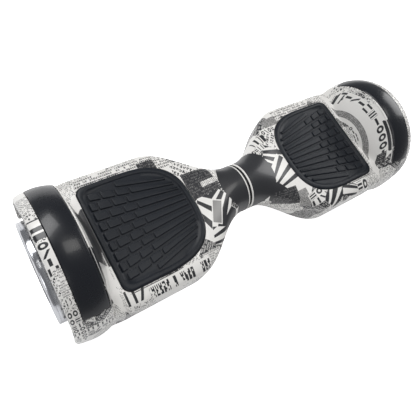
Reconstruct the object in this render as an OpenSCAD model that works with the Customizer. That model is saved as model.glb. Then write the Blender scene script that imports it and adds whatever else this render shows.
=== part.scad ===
// Self balancing board: two shells that twist about a centre shaft, on two hub motor wheels.
// X runs along the axles, Y front to back (the lamps face +Y), Z up. The origin is on the floor,
// midway between the wheels. Each half is drawn for +X, and the left half is its mirror image.

/* [Overall] */
// Length over the two polished hub covers
overall_l = 584; // [540:2:660]
// Width of the shell, front to back
shell_w = 186; // [176:2:220]
// Diameter of the wheel over its tyre
wheel_d = 165; // [155:1:190]
// Height of the standing surface above the axle
deck_rise = 29.3; // [28.5:0.1:36]
// Clearance between the floor and the belly of the shell
ground_gap = 32; // [26:1:40]

/* [Neck] */
// Outer radius of the neck
neck_r = 35; // [34:0.5:42]
// Gap between the two halves at the neck
neck_gap = 4; // [3:0.5:8]
// Distance from the middle to where the neck starts to flare
flare_in = 10; // [6:1:20]
// Distance past the nose of the foot pad at which the shell reaches its full width
flare_over = 40; // [34:1:60]
// How far each half turns either way from level
twist_lim = 12; // [6:1:16]

/* [Shell] */
// Wall of the upper and lower covers
wall = 3; // [2.4:0.1:4]
// Height of the seam between the covers, below the axle
seam_drop = 20; // [16:1:24]
// Depth of the lowest edge of the wheel arch, below the axle
arch_drop = 37; // [30:1:44]
// Gap between the tyre and the wheel arch
tyre_gap = 4; // [3:0.5:7]
// How far the hub cover stands out of the shell
hub_proud = 7; // [4:0.5:12]

/* [Fender band] */
// Width of the fender band
band_w = 32; // [24:1:36]
// Angle that the band covers, each side of the top
band_half_angle = 58.7; // [40:0.1:70]
// Rise of the band's crown above its edges
band_crown = 3; // [2:0.1:4]

/* [Foot pad] */
// Length of the foot pad along the axle
pad_l = 135; // [120:1:140]
// Width of the foot pad, front to back
pad_w = 145; // [120:1:150]
// Thickness of the pad's rubber
pad_t = 5; // [4:0.5:6]
// How far the pad sinks to trip its sensors
pad_travel = 1.5; // [1:0.1:2]
// Gap round the pad
pad_gap = 0.5; // [0.4:0.1:1]

/* [Wheel] */
// Width of the tyre
tyre_w = 38; // [32:1:40]
// Radius of the rim that the tyre sits on
rim_r = 66; // [62:0.5:68]
// Radius of the polished hub cover
hub_r = 64; // [60:0.5:65]
// Radius of the fixed motor axle
axle_r = 7.5; // [6:0.5:9]
// Radius of the ball bearings
bearing_r = 17.5; // [16:0.5:20]
// Number of stator teeth
teeth = 27; // [18:3:36]
// Number of rotor magnets
magnets = 30; // [20:2:40]

/* [Pivot] */
// Radius of the hollow centre shaft
shaft_r = 12.5; // [11:0.5:13.5]
// Wall of the bushes that the right half turns on
bush_t = 3; // [2:0.5:3.5]
// Wall of the chassis collar round the shaft
collar_t = 3.5; // [3:0.5:4]
// Radius of the pin that stops the twist
stop_r = 3; // [2:0.5:4]

/* [Fasteners and controls] */
// Radius of the cover screws
screw_r = 1.9; // [1.5:0.1:2.4]
// Radius of the board screws
small_screw_r = 1.25; // [1:0.05:1.6]
// Radius of the power button
button_r = 8; // [6:0.5:10]
// Travel of the power button
button_travel = 1; // [0.5:0.1:1.5]
// Radius of the charge socket's opening
socket_r = 5.5; // [4.5:0.5:7]

/* [Hidden] */
$fn = 72;

// Heights and stations shared by every piece
axle_z = wheel_d/2;
deck_z = axle_z + deck_rise;
seam_z = axle_z - seam_drop;
half_l = overall_l/2;
arch_end = half_l - hub_proud;
arch_end_round = 4;
rim_strip = 13;
band_x1 = arch_end - rim_strip;
band_x0 = band_x1 - band_w;
tyre_inset = 7;
tyre_x1 = arch_end - tyre_inset;
tyre_x0 = tyre_x1 - tyre_w;
well_r = wheel_d/2 + tyre_gap;
well_room = 11;
well_x = tyre_x0 - well_room;
band_floor = well_r + wall;
groove_depth = 2;
band_edge = band_floor + groove_depth;
band_rise = 0.9;
arch_top = band_edge + band_crown + band_rise;
// The cone wall stands inside both the band and the tyre
wall_top = min(band_x0, tyre_x0);
wall_head = wall_top - 0.6;
wall_run = 21;
wall_foot = wall_top - wall_run;
pad_inset = 1.5;
pad_x1 = wall_foot - pad_inset;
pad_x0 = pad_x1 - pad_l;
flare_out = pad_x0 + flare_over;
clear = 0.3;
run_fit = 0.05;
big = 400;

// Shell form: half width, rise above and drop below the axle at station x
pad_proud = 1.3;
deck_top = deck_rise - pad_proud;
function ease(t) = t <= 0 ? 0 : t >= 1 ? 1 : (1 - cos(180*t))/2;
function flare(x) = ease((x - flare_in)/(flare_out - flare_in));
function body_w(x) = neck_r + (shell_w/2 - neck_r)*flare(x);
function body_up(x) = neck_r + (deck_top - neck_r)*ease((x - flare_in)/(pad_x0 - flare_in));
function body_down(x) = neck_r + (axle_z - ground_gap - neck_r)*flare(x);
deck_power = 5;
function body_power(x) = 2 + (deck_power - 2)*flare(x);
function mix(a, b, t) = a + (b - a)*t;
function polar(w, h, n, a) = pow(pow(abs(cos(a))/w, n) + pow(abs(sin(a))/h, n), -1/n);
function body_rho(x, a, t) =
    polar(body_w(x) - t, (sin(a) >= 0 ? body_up(x) : body_down(x)) - t, body_power(x), a);

// Wheel arch form: a cone wall rises from the deck to the band, and the end is rounded over.
// Beside the wall the body narrows to the arch, and its belly lifts to the arch's lower edge.
arch_power = 8;
function arch_r(x) =
    x <= wall_head ? mix(deck_top, band_edge, (x - wall_foot)/(wall_head - wall_foot))
    : x <= arch_end - arch_end_round ? band_edge
    : band_edge - arch_end_round
        + sqrt(max(0, pow(arch_end_round, 2) - pow(x - arch_end + arch_end_round, 2)));
function join_rho(x, a) =
    let (t = (x - wall_foot)/(wall_head - wall_foot), w = mix(shell_w/2, band_edge, t))
    sin(a) >= 0 ? max(polar(w, deck_top, deck_power, a), arch_r(x))
    : polar(w, mix(body_down(x), arch_drop, ease(t)), mix(deck_power, arch_power, t), a);
function shell_rho(x, a) =
    x <= wall_foot ? body_rho(x, a, 0)
    : x <= wall_head ? join_rho(x, a)
    : sin(a) >= 0 ? arch_r(x) : polar(arch_r(x), arch_drop, arch_power, a);

// Stations along a half, and the ring of angles at each
flare_steps = 10;
wall_steps = 4;
shell_xs = concat(
    [neck_gap/2],
    [for (i = [0:flare_steps]) flare_in + (flare_out - flare_in)*i/flare_steps],
    [for (i = [0:wall_steps]) mix(wall_foot, wall_head, i/wall_steps)],
    [arch_end - arch_end_round, arch_end - arch_end_round*0.4, arch_end - arch_end_round*0.1, arch_end]
);
ring_n = 48;
function ring_angle(i) = 360*i/ring_n;

// Cavity form: the covers' inner face, as far as the wheel well's bulkhead
cavity_x0 = 12;
cavity_x1 = well_x - wall;
pad_z0 = deck_z - pad_t;
pocket_z = pad_z0 - pad_travel - clear;
ceiling = pocket_z - wall - axle_z;
cavity_xs = concat(
    [cavity_x0],
    [for (x = [24:12:pad_x0 - 8]) x],
    [pad_x0 - 4, pad_x0 - 2],
    [for (i = [1:3]) mix(pad_x0, flare_out, i/3)],
    [cavity_x1]
);
function cavity_rho(x, a) =
    let (top = min(body_up(x) - wall, x > pad_x0 - 3 ? ceiling : neck_r))
    polar(body_w(x) - wall, (sin(a) >= 0 ? top : body_down(x) - wall), body_power(x), a);

// Closed skin through a ring of points at every station
module skin(xs, rings) {
    points = [for (r = rings) for (p = r) p];
    n = ring_n;
    last = len(xs) - 1;
    sides = [for (j = [0:last - 1]) for (i = [0:n - 1])
        let (a = j*n + i, b = j*n + (i + 1)%n)
        each [[a, a + n, b], [b, a + n, b + n]]];
    caps = [[for (i = [0:n - 1]) i], [for (i = [n - 1:-1:0]) last*n + i]];
    polyhedron(points = points, faces = concat(sides, caps), convexity = 8);
}
module shell_form() {
    skin(shell_xs, [for (x = shell_xs) [for (i = [0:ring_n - 1])
        let (a = ring_angle(i), r = shell_rho(x, a))
        [x, r*cos(a), axle_z + r*sin(a)]]]);
}
module cavity_form() {
    skin(cavity_xs, [for (x = cavity_xs) [for (i = [0:ring_n - 1])
        let (a = ring_angle(i), r = cavity_rho(x, a))
        [x, r*cos(a), axle_z + r*sin(a)]]]);
}

// Small helpers
module side(right) {
    if (right) children();
    else mirror([1, 0, 0]) children();
}
module on_axle(x) { translate([x, 0, axle_z]) rotate([0, 90, 0]) children(); }
module tube(r, bore, x0, x1) {
    on_axle(x0) difference() {
        cylinder(r = r, h = x1 - x0);
        translate([0, 0, -1]) cylinder(r = bore, h = x1 - x0 + 2);
    }
}
module rod(r, x0, x1) { on_axle(x0) cylinder(r = r, h = x1 - x0); }
module block(x0, x1, y0, y1, z0, z1) {
    translate([x0, y0, z0]) cube([x1 - x0, y1 - y0, z1 - z0]);
}
// Revolves a profile of [distance along X, radius] points about the axle
module turned(profile) {
    translate([0, 0, axle_z]) rotate([0, 90, 0]) rotate_extrude($fn = 96)
        polygon([for (p = profile) [p[1], p[0]]]);
}
module both_y() {
    children();
    mirror([0, 1, 0]) children();
}

// Foot pad outline: a superellipse nose towards the neck, and a straight edge at the wheel
nose_power = 2.87;
nose_l = pad_l*0.634;
pad_corner = 12;
corner_steps = 5;
nose_steps = 12;
function pad_side(grow) =
    let (w = pad_w/2 + grow, xn = pad_x0 + nose_l, l = nose_l + grow, xe = pad_x1 + grow)
    concat(
        [for (i = [0:nose_steps]) let (a = 90*i/nose_steps)
            [xn - l*pow(cos(a), 2/nose_power), w*pow(sin(a), 2/nose_power)]],
        [for (i = [0:corner_steps]) let (a = 90 - 90*i/corner_steps)
            [xe - pad_corner + pad_corner*cos(a), w - pad_corner + pad_corner*sin(a)]]
    );
module pad_outline(grow) {
    half = pad_side(grow);
    back = [for (i = [len(half) - 1:-1:1]) [half[i][0], -half[i][1]]];
    polygon(concat(half, back));
}
peg_x = pad_x0 + pad_l*0.6;
peg_y = 22;
peg_r = 3.5;

// Chassis layout
plate_z1 = axle_z + ceiling - 9;
plate_t = 5;
plate_z0 = plate_z1 - plate_t;
plate_x1 = cavity_x1 - 2;
plate_x0 = pad_x0 - 4;
plate_y = shell_w/2 - wall - 9;
collar_r = shaft_r + bush_t + collar_t;
collar_x0 = cavity_x0;
collar_x1 = plate_x0 + 1;
leg_z = seam_z + 8;
leg_r = 5;
leg_spots = [[pad_x0 + 14, plate_y - 31], [pad_x0 + 68, plate_y - 11], [plate_x1 - 18, plate_y - 11]];
post_r = 6;
head_r = 3.8;
head_h = 2.5;
screw_seat = leg_z - 12;
post_z = ground_gap + 5;
roof_spots = [[pad_x0 + 40, plate_y - 24], [plate_x1 - 30, plate_y - 24]];
hang_z = plate_z0 - 10;
hang_r = 3.5;
seat_x0 = plate_x1 - 30;
tray_edge = 5;
hang_xs = [pad_x0 + 31, seat_x0 - tray_edge - 0.5];
hang_y = 40;
tray_x0 = hang_xs[0] - tray_edge;
tray_x1 = hang_xs[1] + tray_edge;
seat_y = 24;
clamp_drop = 14;
clamp_screw_l = 22;
cover_screw_l = 28;
roof_screw_l = 12;
clamp_spots = [for (x = [seat_x0 + 7, plate_x1 - 7]) for (y = [-17, 17]) [x, y]];
sensor_x = [peg_x - 20, peg_x + 20];
sensor_y = 31;
sensor_z = plate_z1 + 1.2;
board_t = 1.6;
sensor_spots = [for (x = [sensor_x[0] + 4, sensor_x[1] - 4]) for (y = [-27, 27]) [x, y]];

// Underside controls on the right half, and the lamp in each half
control_x = pad_x0 + 20;
control_y = 24;
control_l = 13;
belly_z = axle_z - body_down(control_x);
floor_pad_z = axle_z - body_down(control_x - control_l) + wall + 0.12;
lamp_x = [pad_x0 + 48, pad_x0 + 108];
lamp_z = [seam_z - 13, seam_z - 3];
lamp_y1 = shell_w/2;
lamp_y0 = lamp_y1 - 11;
lamp_flange = 2;

// Wheel well: it follows the cone wall at one wall thickness, and drops straight below the axle
cone_slope = (wall_head - wall_foot)/(band_edge - deck_top);
cone_wall = wall + 0.2;
function cone_x(r) = wall_foot + (r - deck_top)*cone_slope + cone_wall;
well_step_r = deck_top + (well_x - cone_wall - wall_foot)/cone_slope;

module wheel_well() {
    turned([[well_x, 0], [well_x, well_step_r], [cone_x(well_r), well_r], [big, well_r], [big, 0]]);
    block(cone_x(well_r) + 1, big, -well_r - 0.3, well_r + 0.3, axle_z - big, axle_z - 4);
}
module band_groove() {
    translate([0, 0, axle_z]) rotate([0, 90, 0]) rotate([0, 0, 180 - band_half_angle])
        rotate_extrude(angle = 2*band_half_angle, $fn = 120)
        polygon([[band_floor, band_x0], [big, band_x0], [big, band_x1], [band_floor, band_x1]]);
}
module cover_solid() {
    difference() {
        shell_form();
        cavity_form();
        wheel_well();
        rod(neck_r - wall, 0, cavity_x0 + 0.5);
        band_groove();
        rod(axle_r + 1, cavity_x1 - 1, well_x + 1);
    }
}

module upper_cover() {
    color("ivory") difference() {
        union() {
            intersection() {
                cover_solid();
                block(-1, big, -big, big, seam_z, big);
            }
            for (p = roof_spots) both_y() translate([p[0], p[1], plate_z1])
                cylinder(r = leg_r, h = ceiling + axle_z - plate_z1 + 1);
        }
        translate([0, 0, pocket_z]) linear_extrude(30) pad_outline(pad_gap);
        both_y() translate([peg_x, peg_y, pocket_z - 10]) cylinder(r = peg_r + 0.7, h = 20);
        for (p = roof_spots) both_y() translate([p[0], p[1], plate_z1 - 1])
            cylinder(r = screw_r, h = 9);
    }
}

module lower_cover(right) {
    color("ivory") difference() {
        union() {
            intersection() {
                cover_solid();
                block(-1, big, -big, big, -1, seam_z - 0.02);
            }
            for (p = leg_spots) both_y() translate([p[0], p[1], post_z])
                cylinder(r = post_r, h = leg_z - post_z);
            if (right) block(control_x - control_l, control_x + control_l, -control_y - 13, control_y + 15,
                belly_z + 1.9, floor_pad_z);
        }
        for (p = leg_spots) both_y() translate([p[0], p[1], 0]) {
            cylinder(r = head_r + 0.6, h = screw_seat);
            cylinder(r = screw_r + clear, h = big);
        }
        block(lamp_x[0], lamp_x[1], lamp_y0, lamp_y1 + 20, lamp_z[0], lamp_z[1]);
        if (right) {
            // flat for the cap and button to lie against
            block(control_x - control_l, control_x + control_l, -control_y - 13, cap_hinge_y + 3, 0, belly_z);
            translate([control_x, control_y, 0]) cylinder(r = port_r, h = seam_z);
            translate([control_x, -control_y, 0]) cylinder(r = button_r + clear, h = seam_z);
        }
    }
}

module fender_band() {
    crown_steps = 8;
    inner = band_floor + run_fit;
    gap = 0.15;
    x0 = band_x0 + gap;
    w = band_w - 2*gap;
    // The outer edge stands higher than the inner one, with the crown between them
    edge_rise = 2.6;
    crown = [for (i = [0:crown_steps]) let (t = i/crown_steps)
        [band_edge + edge_rise*t + (arch_top - band_edge - edge_rise/2)*4*t*(1 - t)*0.94, x0 + w*t]];
    color("#15161b") translate([0, 0, axle_z]) rotate([0, 90, 0])
        rotate([0, 0, 180 - band_half_angle + 0.1])
        rotate_extrude(angle = 2*band_half_angle - 0.2, $fn = 120)
        polygon(concat([[inner, x0 + w], [inner, x0]], crown));
}

module foot_pad() {
    bevel = 2;
    color("#23262b") {
        translate([0, 0, pad_z0]) linear_extrude(pad_t - bevel) pad_outline(0);
        translate([0, 0, deck_z - bevel]) linear_extrude(bevel) pad_outline(-bevel);
        both_y() translate([peg_x, peg_y, sensor_z + board_t + pad_travel + 1])
            cylinder(r = peg_r, h = pad_z0 - sensor_z - board_t - pad_travel);
    }
}

module chassis(right) {
    bore = right ? shaft_r + bush_t : shaft_r;
    cheek = collar_r - shaft_r - bush_t;
    color("silver") difference() {
        union() {
            translate([0, 0, plate_z0]) linear_extrude(plate_t) polygon([
                [plate_x0, 35 - plate_y], [plate_x0 + 32, -plate_y], [plate_x1, -plate_y],
                [plate_x1, plate_y], [plate_x0 + 32, plate_y], [plate_x0, plate_y - 35]]);
            // side flanges stiffen the plate
            both_y() block(plate_x0 + 34, plate_x1, plate_y - 3, plate_y, leg_z + 2, plate_z0 + 1);
            rod(collar_r, collar_x0, collar_x1);
            // cheeks tie the collar to the plate
            both_y() block(collar_x1 - 16, tray_x0 - clear, collar_r - cheek - 2, collar_r,
                axle_z - 9, plate_z0 + 1);
            for (p = leg_spots) both_y() translate([p[0], p[1], leg_z + 0.02])
                cylinder(r = leg_r, h = plate_z1 - leg_z - 0.5);
            for (x = hang_xs) both_y() translate([x, hang_y, hang_z]) cylinder(r = hang_r, h = 12);
            for (p = sensor_spots) translate([p[0], p[1], plate_z1 - 1])
                cylinder(r = 3, h = sensor_z - plate_z1 + 1);
            block(seat_x0, plate_x1, -seat_y, seat_y, axle_z + 0.3, plate_z0 + 1);
        }
        rod(bore, collar_x0 - 1, collar_x1 + 0.5);
        rod(collar_r - cheek, collar_x1, collar_x1 + 8);
        rod(axle_r, seat_x0 - 1, plate_x1 + 1);
        // slots for the pad's pegs
        both_y() translate([peg_x, peg_y, plate_z0 - 1]) cylinder(r = peg_r + 2, h = plate_t + 2);
        for (p = leg_spots) both_y() translate([p[0], p[1], leg_z - 1]) cylinder(r = screw_r, h = 19);
        for (p = roof_spots) both_y() translate([p[0], p[1], plate_z0 - 1])
            cylinder(r = screw_r + clear, h = plate_t + 2);
        for (x = hang_xs) both_y() translate([x, hang_y, hang_z - 1]) cylinder(r = small_screw_r, h = 9);
        for (p = sensor_spots) translate([p[0], p[1], sensor_z - 5]) cylinder(r = small_screw_r, h = 6);
        for (p = clamp_spots) translate([p[0], p[1], axle_z - 1]) cylinder(r = screw_r, h = 11);
        if (right) stop_slot();
    }
}
stop_x = (collar_x0 + collar_x1)/2;
module stop_slot() {
    half = twist_lim + asin(stop_r/shaft_r) + 1.5;
    translate([0, 0, axle_z]) rotate([0, 90, 0]) rotate([0, 0, 180 - half])
        rotate_extrude(angle = 2*half)
        polygon([[shaft_r, stop_x - stop_r - 0.6], [collar_r + 2, stop_x - stop_r - 0.6],
            [collar_r + 2, stop_x + stop_r + 0.6], [shaft_r, stop_x + stop_r + 0.6]]);
}

module axle_clamp() {
    color("silver") difference() {
        block(seat_x0, plate_x1, -seat_y, seat_y, axle_z - clamp_drop, axle_z - 0.3);
        rod(axle_r, seat_x0 - 1, plate_x1 + 1);
        for (p = clamp_spots) translate([p[0], p[1], axle_z - clamp_drop - 1])
            cylinder(r = screw_r + clear, h = clamp_drop + 2);
    }
}
module screw(r, h) {
    cylinder(r = r, h = h);
    translate([0, 0, -head_h]) difference() {
        cylinder(r = 2*r, h = head_h);
        translate([0, 0, -0.5]) cylinder(r = r, h = 1.8, $fn = 6);
    }
}
module clamp_screws() {
    color("dimgray") for (p = clamp_spots) translate([p[0], p[1], axle_z - clamp_drop])
        screw(screw_r, clamp_screw_l);
}
module cover_screws() {
    color("dimgray") {
        for (p = leg_spots) both_y() translate([p[0], p[1], screw_seat]) screw(screw_r, cover_screw_l);
        for (p = roof_spots) both_y() translate([p[0], p[1], plate_z0]) screw(screw_r, roof_screw_l);
    }
}
module board_screws() {
    color("gainsboro") {
        for (x = hang_xs) both_y() translate([x, hang_y, hang_z - board_t]) screw(small_screw_r, 8);
        for (p = sensor_spots) translate([p[0], p[1], sensor_z + board_t]) rotate([180, 0, 0])
            screw(small_screw_r, 5);
    }
}
module sensor_board() {
    color("darkgreen") difference() {
        union() {
            block(sensor_x[0], sensor_x[1], -sensor_y, sensor_y, sensor_z, sensor_z + board_t);
            // light gates either side of each peg, and the gyro chip in the middle
            for (dx = [-8, 8]) both_y() block(peg_x + dx - 1.5, peg_x + dx + 1.5, peg_y - 3, peg_y + 3,
                sensor_z + 1, sensor_z + 5);
            block(peg_x - 3, peg_x + 3, -3, 3, sensor_z + 1, sensor_z + 2.6);
        }
        for (p = sensor_spots) translate([p[0], p[1], sensor_z - 1]) cylinder(r = small_screw_r, h = 4);
    }
}

module lamp_lens() {
    color("whitesmoke") union() {
        block(lamp_x[0], lamp_x[1], lamp_y0, lamp_y1, lamp_z[0], lamp_z[1]);
        // flange behind the window
        block(lamp_x[0] - 3, lamp_x[1] + 3, lamp_y0 - lamp_flange, lamp_y0, lamp_z[0], lamp_z[1] + 1);
    }
}
module lamp_board() {
    leds = 6;
    led_h = 2;
    pitch = (lamp_x[1] - lamp_x[0])/leds;
    y1 = lamp_y0 - lamp_flange - led_h;
    color("white") union() {
        block(lamp_x[0], lamp_x[1], y1 - board_t, y1, lamp_z[0], lamp_z[1]);
        for (i = [0:leds - 1]) translate([lamp_x[0] + pitch*(i + 0.5) - 2, y1 - 0.5, lamp_z[0] + 3])
            cube([4, led_h + 0.5, 4]);
    }
}

// Hub motor. The axle and stator stay still, and the rest turns round them on two bearings.
rotor_x0 = tyre_x0 + 1;
rotor_x1 = tyre_x1 - 1;
cap_x1 = half_l;
drum_t = 5;
magnet_t = 2.5;
magnet_r = rim_r - drum_t;
stator_r = magnet_r - magnet_t - 1;
stator_x0 = rotor_x0 + 9;
stator_x1 = rotor_x1 - 9;
bearing_w = 11;
axle_x0 = seat_x0;
axle_x1 = cap_x1 - 8;
bearing_x0 = rotor_x0 - 4;
bearing_x1 = axle_x1 - bearing_w - 1;
lead_r = 3;
lead_bore = 4;

module motor_axle() {
    color("lightgray") difference() {
        union() {
            rod(axle_r, axle_x0, axle_x1);
            // shoulder inside the motor, between the bearings
            rod(axle_r + 3, bearing_x0 + bearing_w + 0.5, bearing_x1 - 0.5);
        }
        rod(lead_bore, axle_x0 - 1, stator_x0);
    }
}
tooth_w = 4;
yoke_r = stator_r*0.72;
module stator_core() {
    tip_t = 2.5;
    slot_mouth = 1.6;
    color("#8a8d92") on_axle(stator_x0) difference() {
        linear_extrude(stator_x1 - stator_x0) difference() {
            union() {
                difference() {
                    circle(r = stator_r, $fn = 108);
                    circle(r = stator_r - tip_t, $fn = 108);
                }
                difference() {
                    circle(r = yoke_r, $fn = 108);
                    circle(r = yoke_r - 7, $fn = 108);
                }
                circle(r = axle_r + 9, $fn = 48);
                for (k = [0:teeth - 1]) rotate(360*k/teeth) translate([yoke_r - 3, -tooth_w/2])
                    square([stator_r - yoke_r + 2, tooth_w]);
                for (k = [0:3]) rotate(90*k) translate([axle_r + 4, -4]) square([yoke_r - axle_r - 8, 8]);
            }
            circle(r = axle_r + 3, $fn = 48);
            for (k = [0:teeth - 1]) rotate(360*(k + 0.5)/teeth)
                translate([stator_r - tip_t - 1, -slot_mouth/2]) square([tip_t + 3, slot_mouth]);
        }
    }
}
module stator_windings() {
    coil_t = 1.7;
    over = 3.5;
    r0 = yoke_r + 0.8;
    r1 = stator_r - 3.2;
    w = tooth_w/2 + 0.05;
    color("#b5622c") for (k = [0:teeth - 1]) on_axle(stator_x0 - over) rotate(360*k/teeth) difference() {
        translate([r0, -w - coil_t, 0]) cube([r1 - r0, 2*(w + coil_t), stator_x1 - stator_x0 + 2*over]);
        translate([r0 - 1, -w, over - 0.05]) cube([r1 - r0 + 2, 2*w, stator_x1 - stator_x0 + 0.1]);
    }
}
module motor_bearings() {
    color("gainsboro") {
        tube(bearing_r, axle_r + run_fit, bearing_x0, bearing_x0 + bearing_w);
        tube(bearing_r, axle_r + run_fit, bearing_x1, bearing_x1 + bearing_w);
    }
}
module rotor_drum() {
    color("#9a9ca0") difference() {
        tube(rim_r, magnet_r, rotor_x0, rotor_x1);
        hub_screw_holes(rotor_x0 - 1, hub_screw_r, 12);
    }
}
module magnet_ring() {
    arc = 360/magnets - 1;
    color("#5d5f63") translate([0, 0, axle_z]) rotate([0, 90, 0])
        for (k = [0:magnets - 1]) rotate(360*k/magnets) rotate_extrude(angle = arc, $fn = 120)
            polygon([[magnet_r - magnet_t, stator_x0 - 2], [magnet_r, stator_x0 - 2],
                [magnet_r, stator_x1 + 2], [magnet_r - magnet_t, stator_x1 + 2]]);
}
hub_screw_n = 6;
hub_screw_r = 1.3;
hub_screw_ring = rim_r - drum_t/2;
inner_cover_t = 4;
module hub_screw_holes(x, r, h) {
    for (k = [0:hub_screw_n - 1]) on_axle(x) rotate(360*k/hub_screw_n)
        translate([hub_screw_ring, 0, 0]) cylinder(r = r, h = h);
}
module rotor_cover() {
    x0 = rotor_x0 - inner_cover_t;
    lip = 1.5;
    color("#9a9ca0") difference() {
        turned([[x0, bearing_r - 4], [x0, rim_r - lip], [x0 + lip, rim_r], [rotor_x0, rim_r],
            [rotor_x0, bearing_r + 4], [bearing_x0 + bearing_w, bearing_r + 4],
            [bearing_x0 + bearing_w, bearing_r], [bearing_x0, bearing_r], [bearing_x0, bearing_r - 4]]);
        hub_screw_holes(x0 - 1, hub_screw_r, 8);
        hub_screw_holes(x0 - 1, 2*hub_screw_r, head_h + 1);
    }
}
module hub_screws() {
    color("dimgray") for (k = [0:hub_screw_n - 1])
        on_axle(rotor_x0 - inner_cover_t + head_h) rotate(360*k/hub_screw_n)
        translate([hub_screw_ring, 0, 0]) screw(hub_screw_r, 8);
}
module hub_cap() {
    face = 4;
    step_r = hub_r*0.55;
    color("gainsboro") turned([
        [rotor_x1, rim_r], [rotor_x1, magnet_r], [rotor_x1 + 3, magnet_r - 2],
        [cap_x1 - 1 - face, hub_r - 8], [cap_x1 - 1 - face, bearing_r + 4], [bearing_x1, bearing_r + 4],
        [bearing_x1, bearing_r], [bearing_x1 + bearing_w, bearing_r], [bearing_x1 + bearing_w, bearing_r - 4],
        [cap_x1 - 1 - face, bearing_r - 6], [cap_x1 - 1 - face, 0], [cap_x1, 0], [cap_x1, step_r],
        [cap_x1 - 1, step_r + 2], [cap_x1 - 1, hub_r - 4], [cap_x1, hub_r - 3], [cap_x1, hub_r - 1],
        [cap_x1 - 1, hub_r], [rotor_x1 + 3, hub_r], [rotor_x1 + 3, rim_r]]);
}
module tyre() {
    r = wheel_d/2;
    shoulder = min(9, (r - rim_r)*0.55);
    flank = 3;
    steps = 6;
    // rounded shoulders, a nearly flat tread and flanks that lean in to the rim
    left = [for (i = [0:steps]) let (a = 90*i/steps)
        [tyre_x0 + shoulder*(1 - cos(a)), r - 1 - shoulder*(1 - sin(a))]];
    right = [for (i = [0:steps]) let (a = 90 - 90*i/steps)
        [tyre_x1 - shoulder*(1 - cos(a)), r - 1 - shoulder*(1 - sin(a))]];
    color("#1d1d1f") turned(concat([[tyre_x0 + flank, rim_r]], left, [[(tyre_x0 + tyre_x1)/2, r]], right,
        [[tyre_x1 - flank, rim_r]]));
}
module motor_lead() {
    bend = 9;
    x0 = axle_x0 - 6;
    run = 14;
    plug = [8, 10, 7];
    color("#303236") union() {
        rod(lead_r, x0, stator_x0 - 1);
        translate([x0, bend, axle_z]) rotate([0, 0, 180])
            rotate_extrude(angle = 90) translate([bend, 0]) circle(r = lead_r, $fn = 24);
        translate([x0 - bend, bend, axle_z]) rotate([-90, 0, 0]) cylinder(r = lead_r, h = run);
        translate([x0 - bend - plug[0]/2, bend + run - 1, axle_z - plug[2]/2]) cube(plug);
    }
}

// Pivot at the neck. The shaft is fixed in the left chassis, and the right one turns on bushes.
shaft_x0 = -collar_x1;
shaft_x1 = collar_x1 + 5;
shaft_bore = shaft_r - 4;
module pivot_shaft() {
    color("lightgray") difference() {
        tube(shaft_r, shaft_bore, shaft_x0, shaft_x1);
        tube(shaft_r + 1, shaft_r - 1, collar_x1 + 1, collar_x1 + 2.6);
        translate([stop_x, 0, axle_z]) cylinder(r = stop_r, h = 30);
    }
}
module pivot_bushes() {
    l = (collar_x1 - collar_x0)*0.27;
    color("goldenrod") {
        tube(shaft_r + bush_t, shaft_r + run_fit, collar_x0, collar_x0 + l);
        tube(shaft_r + bush_t, shaft_r + run_fit, collar_x1 - l, collar_x1);
    }
}
module pivot_circlip() {
    color("dimgray") difference() {
        tube(shaft_r + 2.4, shaft_r - 1, collar_x1 + 1.2, collar_x1 + 2.4);
        block(collar_x1, collar_x1 + 4, -3, 3, axle_z - 30, axle_z);
    }
}
module stop_pin() {
    color("lightgray") translate([stop_x, 0, axle_z + shaft_bore + 0.5])
        cylinder(r = stop_r, h = collar_r - shaft_bore - 1);
}
module neck_sleeve() {
    r = neck_r - wall;
    // it seats in the left half and runs inside the right one
    color("#1b1c1f") turned([[-10, r - 3], [-10, r], [-neck_gap/2, r], [-neck_gap/2, r - 0.5],
        [10, r - 0.5], [10, r - 3]]);
}
module neck_cable() {
    r = 4;
    end = shaft_x1 + 10;
    plug = [8, 12, 7];
    color("#26272a") union() {
        rod(r, -end, end);
        for (s = [-1, 1]) translate([s*(end + plug[0]/2 - 0.5), 0, axle_z]) cube(plug, center = true);
    }
}

// Electronics
pack_x = [hang_xs[0] + 4, hang_xs[1] - 4];
pack_y = plate_y - 19;
module battery_pack() {
    pack_z0 = ground_gap + wall + 4;
    cells = 4;
    cell_pitch = (pack_x[1] - pack_x[0])/cells;
    color("#2f6fb0") difference() {
        union() {
            block(pack_x[0], pack_x[1], -pack_y, pack_y, pack_z0, hang_z - board_t);
            block(tray_x0, tray_x1, -hang_y - tray_edge, hang_y + tray_edge, hang_z - board_t, hang_z);
        }
        for (x = hang_xs) both_y() translate([x, hang_y, 0]) cylinder(r = small_screw_r, h = big);
        // shallow valleys between the cells show through the wrap
        for (i = [1:cells - 1]) translate([pack_x[0] + cell_pitch*i, -pack_y - 1, pack_z0 - 1])
            rotate([-90, 0, 0]) cylinder(r = 2, h = 2*pack_y + 2, $fn = 24);
    }
}
module main_board() {
    z1 = hang_z;
    z0 = hang_z - board_t;
    caps = 3;
    color("darkgreen") mirror([1, 0, 0]) difference() {
        union() {
            block(tray_x0, tray_x1, -hang_y - 14, hang_y + 14, z0, z1);
            // power stage with its heat spreader, the processor and the connector row
            block(hang_xs[0] + 14, hang_xs[1] - 14, -48, -30, z0 - 9, z0 + 0.2);
            block(hang_xs[0] + 30, hang_xs[0] + 44, -8, 6, z0 - 2, z0 + 0.2);
            block(hang_xs[0] + 10, hang_xs[1] - 20, 42, 50, z0 - 8, z0 + 0.2);
            for (i = [0:caps - 1]) translate([hang_xs[0] + 16 + 16*i, 22, z0 - 18]) cylinder(r = 5, h = 18.2);
        }
        for (x = hang_xs) both_y() translate([x, hang_y, 0]) cylinder(r = small_screw_r, h = big);
    }
}
port_r = socket_r + 3.5;
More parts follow.
